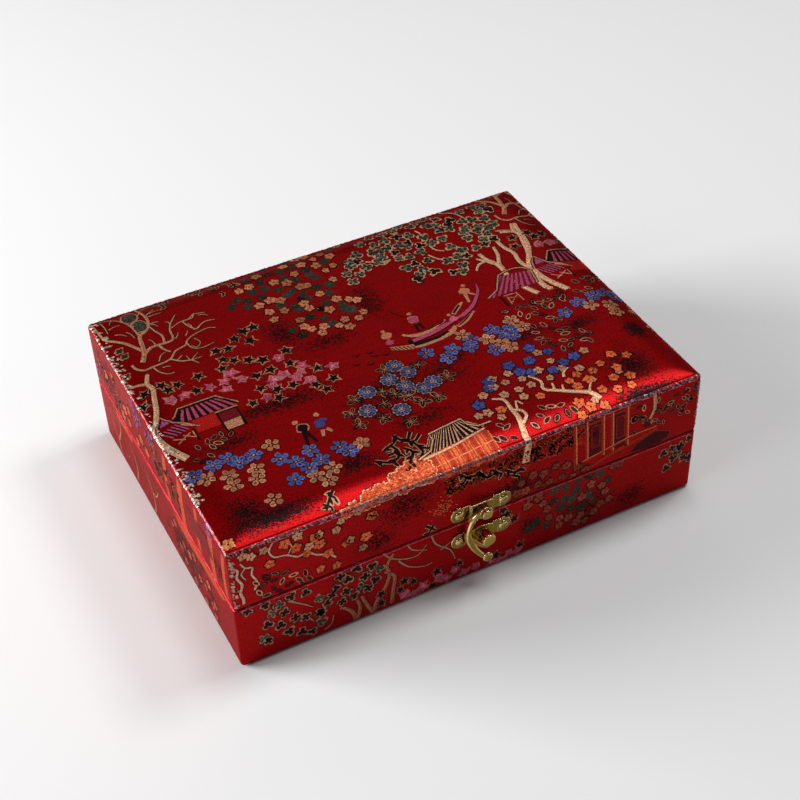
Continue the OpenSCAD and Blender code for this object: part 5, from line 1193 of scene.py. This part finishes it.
def pad(name, body, z, rise, up, node):
    """A satin pad: rings of a rounded rectangle that draw in as a squared cosine while they swell as a
    sine, with short gathers round the edge that fade towards the middle."""
    in_pad, crown, n = 7.8, 16.0, 240
    a = np.radians(np.linspace(0, 90, 15))
    inset = np.r_[in_pad + 0.8, in_pad + 0.15, in_pad + crown * (1 - np.cos(a)) ** 2]
    radius = np.r_[2.5, 2.5, 2.5 + crown * (1 - np.cos(a)) ** 2]
    height = np.r_[0.02, 0.12, 0.3 + 0.7 * np.sin(a)] * rise
    fade = np.r_[0, 0.3, np.cos(a) ** 1.5 * 0.9 + 0.1 * np.cos(a)]
    hx, hy = LONG / 2 - inset, DEEP / 2 - inset
    t = TAU * np.arange(n) / n
    w = np.round(n * hx[2] / (hx[2] + hy[2]) / 2)
    side = np.linspace(0, 4, n, endpoint=False)
    k = (side % 1) * 2 - 1
    q = side.astype(int)
    square = np.choose(q, [1 + 0 * k, -k, -1 + 0 * k, k]), np.choose(q, [k, 1 + 0 * k, -k, -1 + 0 * k])
    x = np.clip(square[0], -1, 1)[None] * hx[:, None]
    y = np.clip(square[1], -1, 1)[None] * hy[:, None]
    ox = np.maximum(np.abs(x) - (hx - radius)[:, None], 0)
    oy = np.maximum(np.abs(y) - (hy - radius)[:, None], 0)
    far = np.maximum(np.hypot(ox, oy), 1e-9)
    pull = np.where((ox > 0) & (oy > 0), np.minimum(radius[:, None] / far, 1), 1)
    x = np.sign(x) * (np.abs(x) - ox + ox * pull)
    y = np.sign(y) * (np.abs(y) - oy + oy * pull)
    gather = 0.12 * np.sin(side * 31) * np.sin(side * 7 + 1) + 0.08 * np.sin(side * 57 + 2)
    z = z + up * (height[:, None] + gather[None] * fade[:, None] * (height[:, None] > 0.5))
    points, faces = shell(np.stack([x, y, z], -1), flip=up < 0)
    obj = make(name, points, faces)
    finish_piece(obj, body, gold_satin, "satin", node)
    return obj


pad("satin_floor_pad", "base", 5.0, 6.0, 1, "base_floor_pad")
pad("satin_lid_pad", "lid", 55.4, 4.0, -1, "lid_top_pad")


def on_front(points, z):
    """Places made as (right, up, outwards) on the front face, with their origin on the latch at height z."""
    return np.stack([LATCH_X + points[..., 0], -DEEP / 2 - points[..., 2], z + points[..., 1]], -1)


def brass_piece(name, points, faces):
    """A latch piece with an attribute that is 0 where it faces straight out, rising as one less the sixth
    power of the normal's outward share towards edges and sides. It paints the brass dark on faces that look straight
    out, a painted dark reflection, and bright on edges and sides, partly edge wear and partly painted highlight."""
    obj = make(name, points, faces)
    normals = np.zeros(3 * len(points), np.float32)
    obj.data.vertices.foreach_get("normal", normals)
    # painted light by facing: dark reflection on faces looking out, highlight with some edge wear on edges and sides
    worn = 1 - np.abs(normals.reshape(-1, 3)[:, 1]) ** 6
    obj.data.attributes.new("worn", "FLOAT", "POINT").data.foreach_set("value", worn.astype(np.float32))
    return obj


def plate_outline(drop, half=9.5, r=3.6, waist=3.3):
    """Outline of a latch plate and, for each of its points, the nearest point of its middle line. The band is
    as high as the waist on both sides of a line that falls by drop to each round end; the round ends
    take over where a circle cuts the band's edge, found as the root of a quadratic."""
    slope = drop / half
    joins = [(-side * waist * slope + math.sqrt((waist * slope) ** 2 + (1 + slope**2) * (r * r - waist**2))) / (1 + slope**2) for side in (1, -1)]
    x = np.r_[np.linspace(0, 4.4, 8), np.linspace(4.55, 5.2, 8), np.linspace(5.5, half - joins[0], 6)]
    upper = np.stack([x, waist - slope * x], -1)
    start, stop = math.pi - math.acos(joins[0] / r), -math.pi + math.acos(joins[1] / r)
    a = np.linspace(start, stop, 44)
    cap = np.stack([half + r * np.cos(a), r * np.sin(a) - drop], -1)
    x = np.r_[np.linspace(half - joins[1], 5.5, 6), np.linspace(5.2, 4.55, 8), np.linspace(4.4, 0, 8)]
    lower = np.stack([x, -waist - slope * x], -1)
    right = np.concatenate([upper, cap, lower])
    loop = np.concatenate([right, right[-2:0:-1] * (-1, 1)])
    spine_x = np.clip(loop[:, 0], -half, half)
    return loop, np.stack([spine_x, -slope * np.abs(spine_x)], -1)


def stamped_plate(drop):
    """A latch plate: rings that draw in from the outline to the middle line, as high as the sheet plus the
    raised middle as a soft step, less a rounded edge that follows the distance from the outline."""
    loop, spine = plate_outline(drop)
    far = np.hypot(*(loop - spine).T)
    r = 0.4
    e = np.r_[r * (1 - np.cos(np.radians([0, 20, 40, 60, 75, 90]))), 0.7, 1.2]
    w = np.concatenate([e[:, None] / far, np.linspace(0.5, 1, 5)[:, None] + 0 * far])
    flat = loop + (spine - loop) * w[..., None]
    near = np.clip(1 - w * far / r, 0, 1)
    step = np.clip((5.1 - np.abs(flat[..., 0])) / 0.5, 0, 1)
    high = 0.8 + step * step * (3 - 2 * step) - r * (1 - np.sqrt(1 - near**2))
    rings = np.concatenate([flat, high[..., None]], -1)
    foot = rings[:1] * (1, 1, 0)
    wall = np.linspace(0, 1, 3)[:, None, None] * (rings[:1] - foot) + foot
    n = len(loop)
    return np.concatenate([wall, rings[1:]]).reshape(-1, 3), [grid_faces(len(rings) + 2, n, closed=True)[:, ::-1]]


def turned(profile, n=48):
    """A turned part: a profile of (radius, outwards) carried round its axis."""
    p = np.asarray(profile, float)
    a = TAU * np.arange(n) / n
    return shell(np.stack([p[:, :1] * np.cos(a), p[:, :1] * np.sin(a), p[:, 1:] + 0 * a], -1))


def capped(r, low, high, edge, crown):
    """Profile of a turned end: straight up the side, a quarter circle at the edge, then a low crown."""
    a = np.radians(np.linspace(0, 84, 7))
    side = [(r, low), (r, high - crown - edge - 0.05)]
    turn = [(r - edge + edge * math.cos(x), high - crown - edge + edge * math.sin(x)) for x in a]
    t = np.linspace(0.9, 0.04, 6)
    return side + turn + [((r - edge) * x, high - crown * x * x) for x in t]


def slotted_head(x, y, turn, n=24):
    """A round screw head: a low dome over rows across it, with the rows inside the slot set lower."""
    r, high, low = 2.0, 0.85, 0.8
    rows = np.array([-1.999, -1.94, -1.8, -1.5, -1.1, -0.6, -0.3, -0.25, -0.249, 0.249, 0.25, 0.3, 0.6, 1.1, 1.5, 1.8, 1.94, 1.999])
    sunk = np.array([0] * 8 + [1, 1] + [0] * 8)
    t = -np.cos(np.linspace(0, np.pi, n))
    half = np.sqrt(r * r - rows**2)
    across, up = half[:, None] * t, rows[:, None] + 0 * t
    dome = low + high * np.sqrt(np.maximum(1 - ((across**2 + up**2) / (r * r)) ** 1.3, 0))
    h = np.where(sunk[:, None] > 0, np.minimum(dome, low + high * 0.4), dome)
    c, s = math.cos(turn), math.sin(turn)
    points = np.stack([x + c * across - s * up, y + s * across + c * up, h], -1).reshape(-1, 3)
    return points, [grid_faces(len(rows), n)[:, ::-1]]


for place, z, body, drop in (("hook_plate", PIVOT_Z, "lid", 0.0), ("catch_plate", POST_Z, "base", 1.6)):
    points, faces = stamped_plate(drop)
    finish_piece(brass_piece("brass_" + place, on_front(points, z), faces), body, sheet_brass, "brass_fittings", place)
    heads = "hook_plate_screws" if drop == 0 else "catch_screws"
    points, faces = joined([slotted_head(-9.5, -drop, -0.5), slotted_head(9.5, -drop, 0.5)])
    finish_piece(brass_piece("brass_" + heads, on_front(points, z), faces), body, turned_brass, "brass_fasteners", heads)

points, faces = turned([(2.55, 1.5)] + capped(2.7, 1.7, 7.6, 0.4, 0.25))
finish_piece(brass_piece("brass_catch_post", on_front(points, POST_Z), faces), "base", turned_brass, "brass_fittings", "catch_post")
points, faces = turned([(1.0, 1.0), (1.0, 4.6), (1.8, 4.62)] + capped(2.1, 4.75, 6.0, 0.35, 0.2))
finish_piece(brass_piece("brass_hook_rivet", on_front(points, PIVOT_Z), faces), "lid", turned_brass, "brass_fittings", "hook_rivet")


def cast_bar(course, bow, reach, width, round_off=0.95, thick=2.7, ends=(True, True)):
    """A cast bar: a rectangle with quarter circles at its corners, carried along a smooth course in
    the hook's plane; a course has x as a share of the bow, the fall as a share of the reach and half the
    width as a share of the arm's. Each end draws in over a quarter circle."""
    course = np.asarray(course, float) * (bow, -reach, width)
    path, halves = curve(course[:, :2], course[:, 2], 8)
    way = np.gradient(path, axis=0)
    way /= np.hypot(*way.T)[:, None]
    q = np.radians([86, 74, 60, 44, 26])
    for end in (0, 1):
        if ends[end]:
            i, last = (-1, 1) if end else (0, -1)
            extra = path[i] + last * way[i] * (halves[i] * 0.9 * np.sin(q))[:, None]
            slim, along = halves[i] * np.cos(q), np.repeat(way[i][None], len(q), 0)
            if end:
                path, halves, way = (np.concatenate(x) for x in ((path, extra[::-1]), (halves, slim[::-1]), (way, along)))
            else:
                path, halves, way = (np.concatenate(x) for x in ((extra, path), (slim, halves), (along, way)))
    side = np.stack([-way[:, 1], way[:, 0]], -1)
    corner = np.radians(np.concatenate([np.linspace(90 * i, 90 * i + 90, 6) for i in range(4)]))
    sign = np.repeat([(1, 1), (-1, 1), (-1, -1), (1, -1)], 6, axis=0)
    r = np.minimum(round_off, halves * 0.85)[:, None]
    across = sign[:, 0] * (halves[:, None] - r) + r * np.cos(corner)
    out = 3.25 + sign[:, 1] * (thick / 2 - r) + r * np.sin(corner)
    flat = path[:, None] + side[:, None] * across[..., None]
    return shell(np.concatenate([flat, out[..., None]], -1))


def cast_hook():
    """The hook: eye, bowed arm with its tail and knob, and the lip under the post."""
    reach = PIVOT_Z - POST_Z
    arm = cast_bar(
        [(-0.1, 0, 0.72), (-0.43, 0.04, 0.48), (-0.72, 0.18, 0.39), (-0.94, 0.46, 0.32), (-1, 0.73, 0.38), (-0.92, 0.99, 0.5), (-0.74, 1.29, 0.47), (-0.52, 1.54, 0.41), (-0.23, 1.79, 0.39), (-0.02, 1.91, 0.41), (0.09, 1.94, 0.41)],
        7.3, reach, 3.2,
    )
    lip = cast_bar([(-0.88, 0.93, 0.3), (-0.61, 1.1, 0.25), (-0.37, 1.28, 0.22), (-0.13, 1.42, 0.2), (0.07, 1.5, 0.2)], 7.3, reach, 3.2, 0.25, 2.55)
    eye = turned([(2.5, 1.92), (2.85, 2.1)] + capped(2.9, 2.4, 4.66, 0.35, 0.02))
    knob = turned([(1.8, 1.92), (2.1, 2.1)] + capped(2.2, 2.4, 5.4, 0.8, 0.12))
    knob[0][:, :2] += (0.09 * 7.3, -1.94 * reach)
    return joined([arm, lip, eye, knob])


points, faces = cast_hook()
finish_piece(brass_piece("brass_hook", on_front(points, PIVOT_Z), faces), "hook", cast_brass, "brass_fittings", "hook")


# CAD nodes that keep their shape ------------------------------------------------------------------


def dress(node, material, bevel=0.0):
    """Gives a CAD node its material, welds its triangles and rounds its edges a little."""
    obj = nodes[node]
    obj.data.materials.clear()
    obj.data.materials.append(material)
    obj.data.polygons.foreach_set("use_smooth", np.ones(len(obj.data.polygons), bool))
    weld = obj.modifiers.new("weld", "WELD")
    weld.merge_threshold = 0.00001
    if bevel:
        rounded = obj.modifiers.new("rounded", "BEVEL")
        rounded.width = bevel * MM
        rounded.segments = 2
        rounded.limit_method = "ANGLE"
        rounded.angle_limit = math.radians(34)
        rounded.harden_normals = True


for side in ("front", "back", "left", "right"):
    for part in ("base", "lid"):
        dress(f"{part}_{side}_board", grey_board, 0.0)
        dress(f"{part}_{side}_lining", gold_satin, 0.35)
for node in ("base_floor_board", "lid_top_board"):
    dress(node, grey_board)
dress("lid_wadding", white_wadding)
dress("base_bottom_sheet", dark_paper, 0.1)
for side in ("left", "right"):
    dress(f"hinge_base_leaf_{side}", hinge_brass, 0.12)
    dress(f"hinge_lid_leaf_{side}", hinge_brass, 0.12)
    dress(f"hinge_pin_{side}", hinge_brass, 0.12)
for node in ("hinge_base_nails", "hinge_lid_nails"):
    dress(node, hinge_brass, 0.08)


# Studio ------------------------------------------------------------------------------------------


def studio_floor():
    """A pale floor that keeps the shadow."""
    size = 2200.0
    points = np.array([(-size, -size, 0), (size, -size, 0), (size, size, 0), (-size, size, 0)])
    floor = make("floor", points, [np.array([[0, 1, 2, 3]])], smooth=False)
    m = Finish("pale_floor", Roughness=0.9, Specular_IOR_Level=0.0)
    floor.data.materials.append(m.set(Base_Color=(0.88, 0.88, 0.88)))


def lamp(name, place, target, size, power, colour=(1, 1, 1)):
    """A soft square lamp at a place, in metres, that looks at a target."""
    data = bpy.data.lights.new(name, "AREA")
    data.shape = "RECTANGLE"
    data.size, data.size_y = size
    data.energy = power
    data.color = colour
    obj = bpy.data.objects.new(name, data)
    obj.location = place
    obj.rotation_euler = (Vector(target) - Vector(place)).to_track_quat("-Z", "Y").to_euler()
    bpy.context.scene.collection.objects.link(obj)
    return obj


studio_floor()
lamp("overhead_left", (0.16, 0.05, 1.25), (-0.05, -0.06, 0.05), (0.34, 0.34), 3.5)
lamp("overhead_right", (0.74, 0.05, 1.20), (0.05, -0.06, 0.05), (0.40, 0.34), 5.2)
lamp("left_key", (-1.15, 0.60, 0.45), (0, 0, 0.03), (0.7, 0.5), 22.0)
lamp("back_panel", (0.55, 1.15, 1.05), (0, 0, 0.05), (1.3, 0.8), 1.4)
lamp("left_glint", (-1.05, -0.15, 0.75), (0, -0.07, 0.04), (0.5, 0.4), 2.4)
lamp("front_glint", (0.45, -0.90, 0.95), (0, -0.07, 0.05), (0.2, 0.2), 0.3, (0.88, 0.84, 1.0))

world = bpy.data.worlds.new("studio")
bpy.context.scene.world = world
world.use_nodes = True
world.node_tree.nodes["Background"].inputs[0].default_value = (1, 1, 1, 1)
world.node_tree.nodes["Background"].inputs[1].default_value = 0.07


def photo_camera():
    """The camera: its place is the target plus its distance along the line of sight, from the azimuth
    and elevation, and it is rolled a little about that line."""
    az, el, roll = -0.4486888, 0.7146487, -0.0416658
    target, distance = np.array([5.6606, 0.4199, 30.0]), 645.697
    back = np.array([math.sin(az) * math.cos(el), -math.cos(az) * math.cos(el), math.sin(el)])
    right = np.cross([0, 0, 1], back)
    right /= np.linalg.norm(right)
    up = np.cross(back, right)
    across = math.cos(roll) * right + math.sin(roll) * up
    upward = -math.sin(roll) * right + math.cos(roll) * up
    data = bpy.data.cameras.new("photo_camera")
    data.sensor_width, data.lens = 36.0, 1560.871 / 800 * 36
    camera = bpy.data.objects.new("photo_camera", data)
    matrix = Matrix.Identity(4)
    for column, values in enumerate((across, upward, back, (target + back * distance) * MM)):
        for row in range(3):
            matrix[row][column] = float(values[row])
    camera.matrix_world = matrix
    bpy.context.scene.collection.objects.link(camera)
    bpy.context.scene.camera = camera


photo_camera()
bpy.context.scene.view_settings.view_transform = "Standard"
